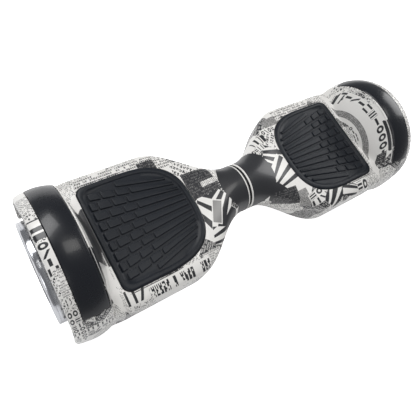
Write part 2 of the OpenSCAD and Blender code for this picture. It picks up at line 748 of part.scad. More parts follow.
module charge_port() {
    depth = 14;
    pin_ring = 2.6;
    color("#303236") difference() {
        union() {
            translate([control_x, control_y, belly_z + 0.2]) cylinder(r = port_r, h = depth + 4);
            translate([control_x, control_y, floor_pad_z]) cylinder(r = port_r + 3, h = 3);
        }
        translate([control_x, control_y, 0]) cylinder(r = socket_r, h = belly_z + depth);
    }
    color("goldenrod") for (k = [0:2]) translate([control_x, control_y, belly_z + 5]) rotate(120*k)
        translate([pin_ring, 0, 0]) cylinder(r = 0.8, h = 11);
}
cap_t = 2.4;
cap_hinge_y = control_y + port_r + 6;
module charge_cap() {
    z1 = belly_z - clear;
    color("#1b1c1f") union() {
        translate([control_x, control_y, z1 - cap_t]) cylinder(r = port_r + 2, h = cap_t);
        translate([control_x, control_y, z1 - 0.5]) cylinder(r = socket_r - 0.8, h = 3.5);
        block(control_x - 4, control_x + 4, control_y + port_r, cap_hinge_y, z1 - cap_t, z1);
        translate([control_x - 4, cap_hinge_y, z1 - cap_t/2]) rotate([0, 90, 0]) cylinder(r = cap_t/2, h = 8);
    }
}
button_flange = 2.5;
module power_button() {
    color("#c9cbd0") {
        translate([control_x, -control_y, belly_z - 1]) cylinder(r = button_r, h = floor_pad_z - belly_z + 2);
        translate([control_x, -control_y, floor_pad_z + clear]) cylinder(r = button_r + 2, h = button_flange);
    }
}
module button_board() {
    switch_h = 2;
    z0 = floor_pad_z + clear + button_flange + button_travel + clear + switch_h;
    arm = button_r + 4;
    color("darkgreen") union() {
        block(control_x - arm + 1, control_x + arm - 1, -control_y - arm, -control_y + arm, z0, z0 + board_t);
        block(control_x - 3, control_x + 3, -control_y - 3, -control_y + 3, z0 - switch_h, z0 + 0.2);
        // pillars carry the board on the belly, outside the button's flange
        for (dx = [2 - arm, arm - 2]) for (dy = [1.5 - arm, arm - 1.5])
            translate([control_x + dx, -control_y + dy, floor_pad_z])
                cylinder(r = 1.2, h = z0 - floor_pad_z + 0.2);
    }
}

side(false) upper_cover();  // left_upper_cover
side(true) upper_cover();  // right_upper_cover
side(false) lower_cover(false);  // left_lower_cover
side(true) lower_cover(true);  // right_lower_cover
side(false) fender_band();  // left_fender_band
side(true) fender_band();  // right_fender_band
side(false) foot_pad();  // left_foot_pad
side(true) foot_pad();  // right_foot_pad
side(false) chassis(false);  // left_chassis
side(true) chassis(true);  // right_chassis
side(false) axle_clamp();  // left_axle_clamp
side(true) axle_clamp();  // right_axle_clamp
side(false) clamp_screws();  // left_clamp_screws
side(true) clamp_screws();  // right_clamp_screws
side(false) cover_screws();  // left_cover_screws
side(true) cover_screws();  // right_cover_screws
side(false) board_screws();  // left_board_screws
side(true) board_screws();  // right_board_screws
side(false) sensor_board();  // left_sensor_board
side(true) sensor_board();  // right_sensor_board
side(false) lamp_lens();  // left_lamp_lens
side(true) lamp_lens();  // right_lamp_lens
side(false) lamp_board();  // left_lamp_board
side(true) lamp_board();  // right_lamp_board
side(false) motor_axle();  // left_motor_axle
side(true) motor_axle();  // right_motor_axle
side(false) stator_core();  // left_stator_core
side(true) stator_core();  // right_stator_core
side(false) stator_windings();  // left_stator_windings
side(true) stator_windings();  // right_stator_windings
side(false) motor_bearings();  // left_motor_bearings
side(true) motor_bearings();  // right_motor_bearings
side(false) rotor_drum();  // left_rotor_drum
side(true) rotor_drum();  // right_rotor_drum
side(false) magnet_ring();  // left_magnet_ring
side(true) magnet_ring();  // right_magnet_ring
side(false) rotor_cover();  // left_rotor_cover
side(true) rotor_cover();  // right_rotor_cover
side(false) hub_cap();  // left_hub_cap
side(true) hub_cap();  // right_hub_cap
side(false) hub_screws();  // left_hub_screws
side(true) hub_screws();  // right_hub_screws
side(false) tyre();  // left_tyre
side(true) tyre();  // right_tyre
side(false) motor_lead();  // left_motor_lead
side(true) motor_lead();  // right_motor_lead
pivot_shaft();
pivot_bushes();
pivot_circlip();
stop_pin();
neck_sleeve();
neck_cable();
battery_pack();
main_board();
charge_port();
charge_cap();
power_button();
button_board();
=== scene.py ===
# Self balancing board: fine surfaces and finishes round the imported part, in metres.
import math
import bmesh
import bpy
import numpy as np
from mathutils import Matrix, Vector


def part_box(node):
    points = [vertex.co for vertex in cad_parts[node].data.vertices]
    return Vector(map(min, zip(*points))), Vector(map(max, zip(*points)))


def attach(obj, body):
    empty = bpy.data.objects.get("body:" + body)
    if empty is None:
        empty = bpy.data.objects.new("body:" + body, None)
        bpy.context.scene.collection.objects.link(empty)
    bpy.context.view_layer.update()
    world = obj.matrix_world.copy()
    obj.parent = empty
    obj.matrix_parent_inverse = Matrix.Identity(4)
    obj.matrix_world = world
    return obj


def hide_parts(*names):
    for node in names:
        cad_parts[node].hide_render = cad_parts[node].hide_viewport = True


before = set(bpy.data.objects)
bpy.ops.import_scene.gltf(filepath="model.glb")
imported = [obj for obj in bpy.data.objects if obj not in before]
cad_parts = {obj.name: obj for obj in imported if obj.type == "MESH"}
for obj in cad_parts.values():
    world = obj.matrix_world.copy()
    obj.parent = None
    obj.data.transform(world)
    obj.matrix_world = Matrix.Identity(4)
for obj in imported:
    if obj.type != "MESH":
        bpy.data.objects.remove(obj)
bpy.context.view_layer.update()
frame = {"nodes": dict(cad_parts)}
nodes = frame["nodes"]
print("frame loaded,", len(nodes), "nodes")

mm = 0.001
sides = {"left": -1, "right": 1}


def boxMm(node):
    # lowest and highest corner of a node of the right half, in millimetres
    low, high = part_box(node)
    return np.array(low)/mm, np.array(high)/mm


padLow, padHigh = boxMm("right_foot_pad")
bandLow, bandHigh = boxMm("right_fender_band")
capHigh = boxMm("right_hub_cap")[1]
tyreLow, tyreHigh = boxMm("right_tyre")
coverLow, coverHigh = boxMm("right_upper_cover")
lensLow, lensHigh = boxMm("right_lamp_lens")
buttonLow, buttonHigh = boxMm("power_button")
portLow, portHigh = boxMm("charge_port")
axleZ = (tyreLow[2] + tyreHigh[2])/2


def gridQuads(rows, columns, wrapRows=False, wrapColumns=False, flip=False):
    # four corners of every cell of a grid whose points run row by row
    i = np.arange(rows if wrapRows else rows - 1)[:, None]
    j = np.arange(columns if wrapColumns else columns - 1)[None, :]
    nextI, nextJ = (i + 1) % rows, (j + 1) % columns
    quads = np.stack(np.broadcast_arrays(i*columns + j, i*columns + nextJ,
                                         nextI*columns + nextJ, nextI*columns + j), -1).reshape(-1, 4)
    return quads[:, ::-1] if flip else quads


def putMesh(name, points, quads, uv=None, sharp=40):
    # points in millimetres go into a mesh at the origin; doubles are merged, so poles and seams close
    mesh = bpy.data.meshes.new(name)
    mesh.vertices.add(len(points))
    mesh.vertices.foreach_set("co", (points*mm).astype(np.float32).ravel())
    mesh.loops.add(quads.size)
    mesh.loops.foreach_set("vertex_index", quads.astype(np.int32).ravel())
    mesh.polygons.add(len(quads))
    mesh.polygons.foreach_set("loop_start", np.arange(0, quads.size, 4, dtype=np.int32))
    mesh.update(calc_edges=True)
    if uv is not None:
        layer = mesh.uv_layers.new(name="print")
        layer.uv.foreach_set("vector", uv[quads].astype(np.float32).ravel())
    work = bmesh.new()
    work.from_mesh(mesh)
    bmesh.ops.remove_doubles(work, verts=work.verts, dist=2e-6)
    bmesh.ops.dissolve_degenerate(work, edges=work.edges, dist=1e-6)
    work.to_mesh(mesh)
    work.free()
    mesh.polygons.foreach_set("use_smooth", np.ones(len(mesh.polygons), bool))
    mesh.set_sharp_from_angle(angle=math.radians(sharp))
    made = bpy.data.objects.new(name, mesh)
    bpy.context.scene.collection.objects.link(made)
    return made


def turnedOut(points, quads):
    # a closed shape whose signed volume is negative is turned the right way out
    a, b, c, d = (points[quads[:, k]] for k in range(4))
    volume = np.einsum("ij,ij->i", a, np.cross(b, c)).sum() + np.einsum("ij,ij->i", a, np.cross(c, d)).sum()
    return quads if volume > 0 else quads[:, ::-1]


def mirrored(points, side):
    # side is 1 for the right half and -1 for the left
    return points*np.array([side, 1, 1])


def forSide(points, quads, side):
    # a shape made for the right half, or its mirror image with its faces turned round
    return (points, quads) if side > 0 else (mirrored(points, -1), quads[:, ::-1])


def joined(parts):
    # several (points, quads) become one
    offset, allPoints, allQuads = 0, [], []
    for points, quads in parts:
        allPoints.append(points)
        allQuads.append(quads + offset)
        offset += len(points)
    return np.concatenate(allPoints), np.concatenate(allQuads)


def turned(profile, count):
    # a closed loop of (distance along the axle, radius) carried round the axle
    x, r = np.array(profile, float).T
    a = np.linspace(0, 2*np.pi, count, endpoint=False)[:, None]
    points = np.stack([np.broadcast_to(x, (count, len(x))), r*np.cos(a), axleZ + r*np.sin(a)], -1)
    points = points.reshape(-1, 3)
    return points, turnedOut(points, gridQuads(count, len(x), wrapRows=True, wrapColumns=True))


def stacked(rings):
    # rings of equal length, lowest first, closed at both ends by a point
    rings = np.array(rings, float)
    ends = [np.broadcast_to(rings[k].mean(0), rings[k].shape)[None] for k in (0, -1)]
    points = np.concatenate([ends[0], rings, ends[1]])
    quads = gridQuads(len(points), rings.shape[1], wrapColumns=True)
    points = points.reshape(-1, 3)
    return points, turnedOut(points, quads)


def block(x0, x1, y0, y1, z0, z1):
    ring = np.array([[x0, y0], [x1, y0], [x1, y1], [x0, y1]])
    return stacked([np.column_stack([ring, np.full(4, z)]) for z in (z0, z1)])


def disc(x, y, r, z0, z1, count=40):
    a = np.linspace(0, 2*np.pi, count, endpoint=False)
    ring = np.column_stack([x + r*np.cos(a), y + r*np.sin(a)])
    return stacked([np.column_stack([ring, np.full(count, z)]) for z in (z0, z1)])


def applyModifiers(obj):
    depsgraph = bpy.context.evaluated_depsgraph_get()
    obj.data = bpy.data.meshes.new_from_object(obj.evaluated_get(depsgraph))
    obj.modifiers.clear()


def finishPiece(obj, body, material, slot, *replaced):
    obj.data.materials.clear()
    obj.data.materials.append(material)
    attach(obj, body)
    if replaced:
        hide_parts(*replaced)
    return obj


shell = {
    "neckRadius": 35, "neckStart": coverLow[0], "flareFrom": 10, "flareLength": 112.5,
    "halfWidth": coverHigh[1], "deckTop": padHigh[2] - 1.3 - axleZ, "bellyDrop": axleZ - 32,
    "deckPower": 5, "wallRun": 21, "bandEdge": 91.5, "archEnd": capHigh[0] - 7, "endRound": 4,
    "wellRadius": tyreHigh[2] - axleZ + 4, "wellX": tyreLow[0] - 11, "seamDrop": 20, "seamGap": 0.35,
    "archDrop": 37, "archPower": 8, "bandHalfAngle": 58.7, "grooveFloor": 90.0, "fillet": 2.5, "skin": 2.4,
    "wellShift": 3.2, "bandKnots": [31.0, 31.5, 148.5, 149.0], "seamRounds": 14,
}
bandX0, bandX1 = bandLow[0] - 0.15, bandHigh[0] + 0.15
wallFoot, wallHead = bandX0 - shell["wallRun"], bandX0 - 0.6
flareTo = shell["flareFrom"] + shell["flareLength"]


def ease(t):
    t = np.clip(t, 0, 1)
    return (1 - np.cos(np.pi*t))/2


def mix(a, b, t):
    return a + (b - a)*t


def polar(w, h, n, a):
    # radius of a superellipse with half width w, height h and power n, at angle a
    return (np.abs(np.cos(a)/w)**n + np.abs(np.sin(a)/h)**n)**(-1/n)


def crownRadius(x):
    # the arch bulges over the band, falls towards its end and is rounded off there
    t = (x - bandX0)/(bandX1 - bandX0)
    crown = shell["bandEdge"] + 2.6*t + 9.2*t*(1 - t)
    s = np.clip((x - bandX1)/(shell["archEnd"] - bandX1), 0, 1)
    strip = shell["bandEdge"] + 2.6 - 1.3*s - 1.6*s*s
    roundFrom = shell["archEnd"] - shell["endRound"]
    past = np.clip(x - roundFrom, 0, None)
    drop = shell["endRound"] - np.sqrt(np.clip(shell["endRound"]**2 - past**2, 0, None))
    return np.where(x <= bandX1, crown, strip) - drop


def shellRadius(x, a):
    # the body is a superellipse that grows from the round neck; the cone wall and the arch rise out of it
    flare = ease((x - shell["flareFrom"])/(flareTo - shell["flareFrom"]))
    rise = ease((x - shell["flareFrom"])/(padLow[0] - shell["flareFrom"]))
    w = mix(shell["neckRadius"], shell["halfWidth"], flare)
    up = mix(shell["neckRadius"], shell["deckTop"], rise)
    down = mix(shell["neckRadius"], shell["bellyDrop"], flare)
    above = np.sin(a) >= 0
    body = polar(w, np.where(above, up, down), 2 + (shell["deckPower"] - 2)*flare, a)
    # rounded lip where the halves meet
    lip = np.clip((x - shell["neckStart"])/1.2, 0, 1)
    body = body - 0.8*(1 - np.sqrt(np.clip(1 - (1 - lip)**2, 0, 1)))
    t = np.clip((x - wallFoot)/(wallHead - wallFoot), 0, 1)
    w2 = mix(shell["halfWidth"], shell["bandEdge"], t)
    cone = mix(shell["deckTop"], shell["bandEdge"], t)
    deck = polar(w2, shell["deckTop"], shell["deckPower"], a)
    gap = cone - deck
    joinUp = (cone + deck + np.sqrt(gap**2 + shell["fillet"]**2*np.clip(t*8, 0, 1)*(1 - t)))/2
    joinDown = polar(w2, mix(shell["bellyDrop"], shell["archDrop"], ease(t)),
                     mix(shell["deckPower"], shell["archPower"], t), a)
    join = np.where(above, joinUp, joinDown)
    arch = crownRadius(x)
    inBand = ((np.abs(np.degrees(a) - 90) < shell["bandHalfAngle"] + 0.15)
              & (x > bandX0 - 0.02) & (x < bandX1 + 0.02))
    archUp = np.where(inBand, shell["grooveFloor"], arch)
    archOn = np.where(above, archUp, polar(arch, shell["archDrop"], shell["archPower"], a))
    return np.where(x <= wallFoot, body, np.where(x <= wallHead + 0.01, join, archOn))


def spaced(*pieces):
    # stations of several stretches, each (from, to, steps), with no doubles
    return np.unique(np.round(np.concatenate([np.linspace(a, b, n + 1) for a, b, n in pieces]), 4))


outerX = spaced((shell["neckStart"], shell["neckStart"] + 1.2, 4), (3.2, 10, 4), (10, padLow[0], 34),
                (padLow[0], flareTo, 14), (flareTo, wallFoot, 24), (wallFoot, wallHead, 16),
                (bandX0 - 0.04, bandX0, 1), (bandX0, bandX1, 10), (bandX1, bandX1 + 0.04, 1),
                (bandX1 + 0.04, shell["archEnd"] - 4, 6), (shell["archEnd"] - 4, shell["archEnd"], 8))
topRadius = shellRadius(outerX, np.full(len(outerX), np.pi/2))
topU = np.concatenate([[0], np.cumsum(np.hypot(np.diff(outerX), np.diff(np.where(
    (outerX > bandX0 - 0.03) & (outerX < bandX1 + 0.03), crownRadius(outerX), topRadius))))])
fineAngle = np.radians(np.linspace(-90, 450, 1081))


def girthTable(x):
    # length round the shell from its top line, at every fine angle
    a = fineAngle
    r = shellRadius(np.full(len(a), float(x)), np.mod(a + np.pi/2, 2*np.pi) - np.pi/2)
    y, z = r*np.cos(a), r*np.sin(a)
    run = np.concatenate([[0], np.cumsum(np.hypot(np.diff(y), np.diff(z)))])
    return run - np.interp(np.pi/2, a, run)


def printPoint(x, degrees):
    # a place on the shell in the print's own millimetres
    v = np.interp(math.radians(degrees), fineAngle, girthTable(x))
    return float(np.interp(x, outerX, topU)), float(v)


def seamAngle(x, drop, radiusAt):
    # angle below the level at which a station's ring crosses the seam
    a = np.full(len(x), -0.25)
    for _ in range(shell["seamRounds"]):
        a = -np.arcsin(np.clip(drop/radiusAt(x, a), 0, 1))
    return a


def coverGrid(upper):
    # rows run along the axle and on round the wheel arch's end into its well; columns run round the axle
    well = shell["wellRadius"]
    slope = (wallHead - wallFoot)/(shell["bandEdge"] - shell["deckTop"])
    coneX = wallFoot + (well - shell["deckTop"])*slope + shell["wellShift"]
    stepR = shell["deckTop"] + (shell["wellX"] - shell["wellShift"] - wallFoot)/slope
    end = shell["archEnd"]
    wellRows = np.array([(end, well + 0.3), (end - 0.3, well), (end - 1, well), (272, well), (260, well),
                         (248, well), (coneX, well), (mix(coneX, shell["wellX"], 0.5), mix(well, stepR, 0.5)),
                         (shell["wellX"], stepR), (shell["wellX"], 40), (shell["wellX"], 30),
                         (shell["wellX"], 20.5), (shell["wellX"], 14), (shell["wellX"], 8.6)])
    drop = shell["seamDrop"] if upper else shell["seamDrop"] + shell["seamGap"]
    rowX = np.concatenate([outerX, wellRows[:, 0]])
    outerSeam = seamAngle(outerX, drop, shellRadius)

    def wellRadius(r, a):
        # straight sided below the level of the axle
        return np.where(np.sin(a) >= 0, r, r/np.maximum(np.abs(np.cos(a)), 0.08))

    wellSeam = -np.arcsin(np.clip(drop/wellRows[:, 1], 0, 1))
    straight = wellRows[:, 1] > 60
    wellSeam = np.where(straight, -np.arctan2(drop, wellRows[:, 1]), wellSeam)
    seam = np.concatenate([outerSeam, wellSeam])
    if upper:
        knots = np.radians(shell["bandKnots"])
        counts = [34, 1, 104, 1, 34]
        edges = np.column_stack([seam, np.broadcast_to(knots, (len(seam), 4)), np.pi - seam])
    else:
        counts = [100]
        edges = np.column_stack([np.pi - seam, 2*np.pi + seam])[:len(outerX)]
        rowX = outerX
    angle = np.concatenate([edges[:, k:k + 1] + (edges[:, k + 1:k + 2] - edges[:, k:k + 1])
                            * (np.arange(n)/n)[None, :] for k, n in enumerate(counts)] + [edges[:, -1:]], 1)
    wrapped = np.mod(angle + np.pi/2, 2*np.pi) - np.pi/2
    radius = shellRadius(np.broadcast_to(outerX[:, None], angle[:len(outerX)].shape), wrapped[:len(outerX)])
    if upper:
        r = wellRows[:, 1][:, None]
        inner = np.where(straight[:, None], wellRadius(r, angle[len(outerX):]), r)
        radius = np.concatenate([radius, inner])
    x = np.broadcast_to(rowX[:, None], angle.shape)
    points = np.stack([x, radius*np.cos(angle), axleZ + radius*np.sin(angle)], -1)
    v = np.stack([np.interp(angle[k], fineAngle, girthTable(min(xk, shell["archEnd"])))
                  for k, xk in enumerate(rowX)])
    u = np.concatenate([topU, topU[-1] + 3 + np.cumsum(np.ones(len(rowX) - len(outerX)))])
    uv = np.stack([np.broadcast_to(u[:, None], v.shape), v], -1)*0.01
    return points.reshape(-1, 3), angle.shape, uv.reshape(-1, 2)


pad = {"x0": padLow[0], "x1": padHigh[0], "halfWidth": padHigh[1], "top": padHigh[2], "nosePower": 2.87,
       "noseShare": 0.634, "corner": 12, "depth": 5, "gap": 0.5}


def padOutline(grow, noseSteps=44, cornerSteps=9):
    # a superellipse nose towards the neck and a straight edge with round corners at the wheel
    w = pad["halfWidth"] + grow
    noseL = (pad["x1"] - pad["x0"])*pad["noseShare"]
    nx, length, end = pad["x0"] + noseL, noseL + grow, pad["x1"] + grow
    a = np.linspace(0, np.pi/2, noseSteps + 1)
    nose = np.column_stack([nx - length*np.cos(a)**(2/pad["nosePower"]), w*np.sin(a)**(2/pad["nosePower"])])
    c = np.linspace(np.pi/2, 0, cornerSteps + 1)
    corner = np.column_stack([end - pad["corner"] + pad["corner"]*np.cos(c),
                              w - pad["corner"] + pad["corner"]*np.sin(c)])
    half = np.concatenate([nose, corner])
    return np.concatenate([half, half[:0:-1]*np.array([1, -1])])


def ringAt(outline, z):
    return np.column_stack([outline, np.full(len(outline), z)])


controlX, buttonY = (buttonLow[0] + buttonHigh[0])/2, (buttonLow[1] + buttonHigh[1])/2
portY = (portLow[1] + portHigh[1])/2
bellyZ = portLow[2] - 0.2
coverScrews = [(padLow[0] + 14, 50), (padLow[0] + 68, 70), (tyreLow[0] - 34, 70)]


def cutters(upper, side):
    # shapes to cut away, in groups whose members don't touch
    if upper:
        return [stacked([ringAt(padOutline(pad["gap"]), z) for z in (padLow[2] - 30, pad["top"] + 20)])]
    wide = shell["wellRadius"] + 0.3
    parts = [block(shell["wellX"], 320, -wide, wide, -20, axleZ - 4),
             block(lensLow[0] + 3, lensHigh[0] - 3, lensHigh[1] - 11, lensHigh[1] + 20,
                   lensLow[2], lensHigh[2] - 1)]
    for x, y in coverScrews:
        for s in (-1, 1):
            parts.append(disc(x, s*y, 4.4, 10, shell["seamDrop"] + 30))
    if side < 0:
        return [joined(parts)]
    parts.append(block(controlX - 13, controlX + 13, buttonY - 13, portY + 18, 5, bellyZ))
    return [joined(parts), joined([disc(controlX, portY, 9, 10, 60), disc(controlX, buttonY, 8.3, 10, 60)])]


def padTray():
    # wall and floor of the pocket that the pad sits in
    floor = pad["top"] - pad["depth"] - 1.8
    outer = [ringAt(padOutline(g), z) for g, z in (
        (-14, floor - 2), (2.2, floor - 2), (2.5, pad["top"] - 3.4), (0.55, pad["top"] - 3.4),
        (0.5, floor), (-14, floor))]
    rings = np.array(outer)
    quads = gridQuads(len(rings), rings.shape[1], wrapRows=True, wrapColumns=True)
    return rings.reshape(-1, 3), turnedOut(rings.reshape(-1, 3), quads)


class Bench:
    # lays nodes in a tree; a value that is no socket is set on the node's own socket
    def __init__(self, tree):
        self.tree = tree

    def plug(self, socket, value):
        if isinstance(value, bpy.types.NodeSocket):
            self.tree.links.new(value, socket)
        elif value is not None:
            socket.default_value = value

    def node(self, kind, *inputs, **settings):
        made = self.tree.nodes.new("ShaderNode" + kind)
        for key, value in settings.items():
            setattr(made, key, value)
        for socket, value in zip(made.inputs, inputs):
            self.plug(socket, value)
        return made

    def math(self, operation, a, b=None, c=None):
        return self.node("Math", a, b, c, operation=operation).outputs[0]

    def both(self, *masks):
        made = masks[0]
        for mask in masks[1:]:
            made = self.math("MULTIPLY", made, mask)
        return made

    def blend(self, factor, a, b):
        made = self.node("Mix", data_type="FLOAT")
        for index, value in ((0, factor), (2, a), (3, b)):
            self.plug(made.inputs[index], value)
        return made.outputs[0]

    def tint(self, factor, a, b):
        made = self.node("Mix", data_type="RGBA")
        for index, value in ((0, factor), (6, a), (7, b)):
            self.plug(made.inputs[index], value)
        return made.outputs[2]

    def random(self, x, y=0.0, z=0.0):
        place = self.node("CombineXYZ", x, y, z).outputs[0]
        return self.node("TexWhiteNoise", place, noise_dimensions="3D").outputs["Value"]

    def noise(self, place, scale, detail=3.0, rough=0.5):
        return self.node("TexNoise", place, None, scale, detail, rough).outputs["Fac"]

    def group(self, tree, **values):
        made = self.tree.nodes.new("ShaderNodeGroup")
        made.node_tree = tree
        for key, value in values.items():
            self.plug(made.inputs[key], value)
        return made.outputs


# short words for the sums that come up most
for word, operation in {"plus": "ADD", "minus": "SUBTRACT", "times": "MULTIPLY", "over": "DIVIDE",
                        "below": "LESS_THAN", "above": "GREATER_THAN", "absolute": "ABSOLUTE",
                        "floor": "FLOOR", "fract": "FRACT"}.items():
    setattr(Bench, word, lambda self, *values, kind=operation: self.math(kind, *values))


def startGroup(name, inputs, outputs):
    # a node group; its inputs start at the values given, and "vector" marks one that is a vector
    tree = bpy.data.node_groups.new(name, "ShaderNodeTree")
    for label, start in inputs.items():
        kind = "NodeSocketVector" if start == "vector" else "NodeSocketFloat"
        socket = tree.interface.new_socket(name=label, in_out="INPUT", socket_type=kind)
        if start != "vector":
            socket.default_value = start
    for label in outputs:
        tree.interface.new_socket(name=label, in_out="OUTPUT", socket_type="NodeSocketFloat")
    entry, leave = tree.nodes.new("NodeGroupInput"), tree.nodes.new("NodeGroupOutput")
    return Bench(tree), entry.outputs, leave.inputs


def makeSmallMarks():
    # rows of little random blocks, five high and three wide, that read as fine print from afar
    inputs = {"U": 0.0, "V": 0.0, "RowHeight": 3.0, "Density": 0.6, "Seed": 0.0}
    b, i, o = startGroup("smallMarks", inputs, ["Ink"])
    v = b.over(i["V"], i["RowHeight"])
    row, inRow = b.floor(v), b.fract(v)
    u = b.plus(b.over(i["U"], b.times(i["RowHeight"], 0.62)),
               b.times(b.random(row, i["Seed"]), 9.0))
    cell, inCell = b.floor(u), b.fract(u)
    px = b.floor(b.times(inCell, 4.0))
    py = b.floor(b.times(b.minus(inRow, 0.16), 7.4))
    inside = b.both(b.above(inRow, 0.16), b.below(inRow, 0.84),
                    b.below(px, 3.0))
    place = b.plus(b.times(cell, 4.0), px)
    dot = b.below(b.random(place, b.plus(b.times(row, 7.0), py), i["Seed"]),
                 i["Density"])
    word = b.above(b.random(cell, b.plus(row, 31.7), i["Seed"]), 0.17)
    b.plug(o["Ink"], b.both(inside, dot, word))
    return b.tree


def makeBoldMarks():
    # one bold shape a cell: an upright bar, a ring, two bars, a slanting bar or stacked bars
    inputs = {"U": 0.0, "V": 0.0, "Width": 8.0, "Height": 10.0, "Seed": 0.0}
    b, i, o = startGroup("boldMarks", inputs, ["Ink"])
    u, v = b.over(i["U"], i["Width"]), b.over(i["V"], i["Height"])
    cell, row = b.floor(u), b.floor(v)
    x, y = b.minus(b.fract(u), 0.5), b.minus(b.fract(v), 0.5)
    pick = b.random(cell, row, i["Seed"])
    ax, ay = b.absolute(x), b.absolute(y)
    inside = b.both(b.below(ax, 0.42), b.below(ay, 0.42))
    bar = b.below(ax, 0.13)
    radius = b.math("SQRT", b.plus(b.times(x, x), b.times(y, y)))
    ring = b.below(b.absolute(b.minus(radius, 0.29)), 0.115)
    two = b.above(ax, 0.2)
    slant = b.below(b.absolute(b.plus(b.times(x, 1.3), b.times(y, -0.8))), 0.16)
    stack = b.above(b.absolute(b.math("SINE", b.times(y, 10.0))), 0.62)
    shape = bar
    for limit, other in ((0.2, ring), (0.42, two), (0.62, slant), (0.82, stack)):
        shape = b.blend(b.above(pick, limit), shape, other)
    b.plug(o["Ink"], b.both(inside, shape))
    return b.tree


def makeTicks():
    # upright strokes of uneven width
    b, i, o = startGroup("uprightTicks", {"U": 0.0, "Pitch": 1.2, "Density": 0.5, "Seed": 0.0}, ["Ink"])
    cell = b.floor(b.over(i["U"], i["Pitch"]))
    b.plug(o["Ink"], b.below(b.random(cell, i["Seed"]), i["Density"]))
    return b.tree


def makeWedges():
    # stripes that fan out from one corner of a panel
    b, i, o = startGroup("fanStripes", {"U": 0.0, "V": 0.0, "Count": 5.0, "Share": 0.6}, ["Ink"])
    angle = b.math("ARCTAN2", i["V"], i["U"])
    b.plug(o["Ink"], b.below(b.fract(b.times(angle, i["Count"])), i["Share"]))
    return b.tree


def makePanel():
    # a rectangle on the print: its own turned coordinates and its mask
    inputs = {"U": 0.0, "V": 0.0, "AtU": 0.0, "AtV": 0.0, "Turn": 0.0, "HalfU": 10.0, "HalfV": 10.0}
    b, i, o = startGroup("panel", inputs, ["LocalU", "LocalV", "Mask"])
    du, dv = b.minus(i["U"], i["AtU"]), b.minus(i["V"], i["AtV"])
    c, s = b.math("COSINE", i["Turn"]), b.math("SINE", i["Turn"])
    u = b.plus(b.times(du, c), b.times(dv, s))
    v = b.minus(b.times(dv, c), b.times(du, s))
    b.plug(o["LocalU"], u)
    b.plug(o["LocalV"], v)
    b.plug(o["Mask"], b.both(b.below(b.absolute(u), i["HalfU"]),
                             b.below(b.absolute(v), i["HalfV"])))
    return b.tree


def makeClippings(smallMarks):
    # the ground of the print: irregular paper clippings, each with its own slant, size of marks and ground
    b, i, o = startGroup("clippings", {"U": 0.0, "V": 0.0, "Size": 34.0, "Seed": 0.0}, ["Ink"])
    place = b.node("CombineXYZ", b.over(i["U"], i["Size"]), b.over(i["V"], i["Size"]), i["Seed"]).outputs[0]
    cells = b.node("TexVoronoi", place, None, 1.0, voronoi_dimensions="2D", distance="MANHATTAN")
    b.plug(cells.inputs["Randomness"], 0.85)
    parts = b.node("SeparateColor", cells.outputs["Color"]).outputs
    edge = b.node("TexVoronoi", place, None, 1.0, voronoi_dimensions="2D", feature="F2", distance="MANHATTAN")
    b.plug(edge.inputs["Randomness"], 0.85)
    near = b.minus(edge.outputs["Distance"], cells.outputs["Distance"])
    turn = b.times(b.minus(b.floor(b.times(parts[0], 5.0)), 2.0), 0.42)
    c, s = b.math("COSINE", turn), b.math("SINE", turn)
    u = b.plus(b.times(i["U"], c), b.times(i["V"], s))
    v = b.minus(b.times(i["V"], c), b.times(i["U"], s))
    height = b.plus(2.5, b.times(b.math("POWER", parts[1], 2.0), 5.0))
    marks = b.group(smallMarks, U=u, V=v, RowHeight=height, Seed=b.times(parts[2], 40.0))["Ink"]
    blank = b.above(parts[1], 0.22)
    marks = b.both(marks, blank)
    dark = b.above(parts[2], 0.74)
    ink = b.blend(dark, marks, b.minus(0.95, b.times(marks, 0.85)))
    b.plug(o["Ink"], b.both(ink, b.above(near, 0.03)))
    return b.tree


def makeGrain():
    # fine moulded grain with slow changes of tone
    inputs = {"Vector": "vector", "Fine": 900.0, "Coarse": 25.0}
    b, i, o = startGroup("mouldedGrain", inputs, ["Height", "Tone"])
    b.plug(o["Height"], b.noise(i["Vector"], i["Fine"], 2.0))
    b.plug(o["Tone"], b.noise(i["Vector"], i["Coarse"], 4.0, 0.6))
    return b.tree


def makeLatheLines():
    # rings left by turning about the axle, from the distance to it
    b, i, o = startGroup("latheLines", {"Vector": "vector", "Pitch": 2500.0}, ["Lines", "Smears"])
    parts = b.node("SeparateXYZ", i["Vector"]).outputs
    up = b.minus(parts[2], axleZ*mm)
    radius = b.math("SQRT", b.plus(b.times(parts[1], parts[1]), b.times(up, up)))
    line = b.node("CombineXYZ", b.times(radius, i["Pitch"]), b.times(parts[0], i["Pitch"]), 0.0).outputs[0]
    b.plug(o["Lines"], b.noise(line, 1.0, 2.0))
    b.plug(o["Smears"], b.noise(i["Vector"], 30.0, 3.0))
    return b.tree


def makeSmudge():
    # faint handling marks and dust for glossy finishes
    b, i, o = startGroup("handlingMarks", {"Vector": "vector", "Scale": 40.0}, ["Marks", "Dust"])
    b.plug(o["Marks"], b.noise(i["Vector"], i["Scale"], 5.0, 0.65))
    specks = b.noise(i["Vector"], 2200.0, 1.0)
    b.plug(o["Dust"], b.above(specks, 0.76))
    return b.tree


smallMarks, boldMarks, ticks = makeSmallMarks(), makeBoldMarks(), makeTicks()
wedges, panelGroup = makeWedges(), makePanel()
clippings, grain, latheLines, smudge = makeClippings(smallMarks), makeGrain(), makeLatheLines(), makeSmudge()


def startMaterial(name, roughness=0.5, metallic=0.0):
    material = bpy.data.materials.new(name)
    material.use_nodes = True
    b = Bench(material.node_tree)
    shader = material.node_tree.nodes["Principled BSDF"]
    shader.inputs["Roughness"].default_value = roughness
    shader.inputs["Metallic"].default_value = metallic
    coords = b.node("TexCoord").outputs["Object"]
    return material, b, shader, coords


